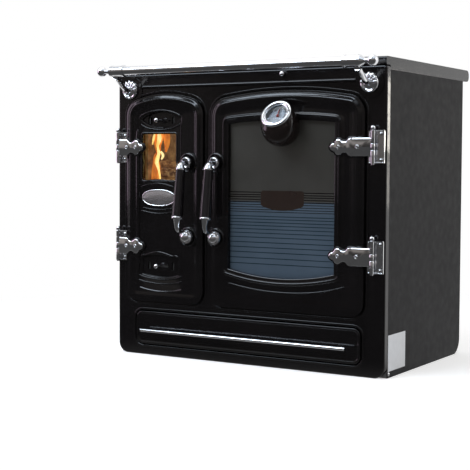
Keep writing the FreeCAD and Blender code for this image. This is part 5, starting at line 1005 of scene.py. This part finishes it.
def fire():
    """Split logs and flames behind the firebox window."""
    shell = Shell()
    logs = [((-338, -70, 462), (-188, -62, 463), 23), ((-336, -128, 463), (-190, -122, 462), 24),
            ((-334, -52, 504), (-196, -60, 500), 19), ((-332, -98, 505), (-192, -92, 507), 20),
            ((-326, -60, 539), (-214, -66, 536), 15.5), ((-338, -96, 566), (-222, -88, 545), 15)]
    for start, end, radius in logs:
        knots = []
        for k in range(6):
            t = k / 5
            wobble = math.sin(7 * t + start[2]) * 1.6
            knots.append((start[0] + (end[0] - start[0]) * t, start[1] + (end[1] - start[1]) * t + wobble,
                          start[2] + (end[2] - start[2]) * t - wobble * 0.6,
                          radius * (1 + 0.06 * math.sin(11 * t + start[0]))))
        bar(shell, knots, 4, 9)
    shell.piece("logs", "cooker", "firebrick", LOG)
    tongues = [
        (CORE, [(-305, -33, 505, 2), (-307, -33, 528, 3.4), (-312, -33, 552, 4.2), (-318, -33, 572, 7.5),
                (-311, -33, 596, 5), (-315, -33, 618, 4.6), (-309, -33, 640, 8), (-312, -33, 668, 3)]),
        (CORE, [(-303, -35, 578, 2), (-297, -35, 590, 4.6), (-305, -35, 602, 3)]),
        (CORE, [(-336, -36, 622, 2), (-332, -36, 640, 4), (-326, -36, 660, 2)]),
        (EMBER, [(-296, -48, 600, 3), (-292, -48, 625, 10), (-294, -48, 655, 12), (-298, -48, 680, 3)]),
        (EMBER, [(-326, -42, 490, 14), (-328, -42, 525, 16), (-326, -42, 560, 14), (-328, -42, 585, 8),
                 (-325, -42, 600, 2)]),
        (FLAME, [(-318, -44, 590, 6), (-322, -44, 620, 12), (-318, -44, 648, 15), (-320, -44, 678, 3)]),
        (EMBER, [(-262, -66, 610, 4), (-256, -66, 632, 11), (-256, -66, 652, 12), (-260, -66, 680, 3)]),
        (FLAME, [(-317, -40, 486, 9), (-319, -40, 520, 8), (-323, -40, 556, 8), (-319, -40, 580, 2)]),
    ]
    for index, (paint, knots) in enumerate(tongues):
        shell = Shell()
        bar(shell, knots, 6, 14, 0.3)
        shell.piece("flame_%d" % index, "cooker", "firebrick", paint)


def rating_plate():
    shell = Shell()
    corners = [(-250, 17), (-137, 17), (-137, 114), (-250, 114)]
    rings = [shell.ring([Vector((x / 1000, y / 1000, z / 1000)) for y, z in corners])
             for x in (HALF, HALF + 0.4)]
    shell.join(*rings)
    shell.close(rings)
    shell.piece("side_label", "cooker", "white_dial", LABEL)


firebox_door()
oven_door()
hinge_leaves()
handle("firebox", "firebox_door", "firebox_handle", FIRE_GRIP)
handle("oven", "oven_door", "oven_handle", OVEN_GRIP)
thermometer()
rail_brackets()
drawer()
glass_print()
fire()
rating_plate()
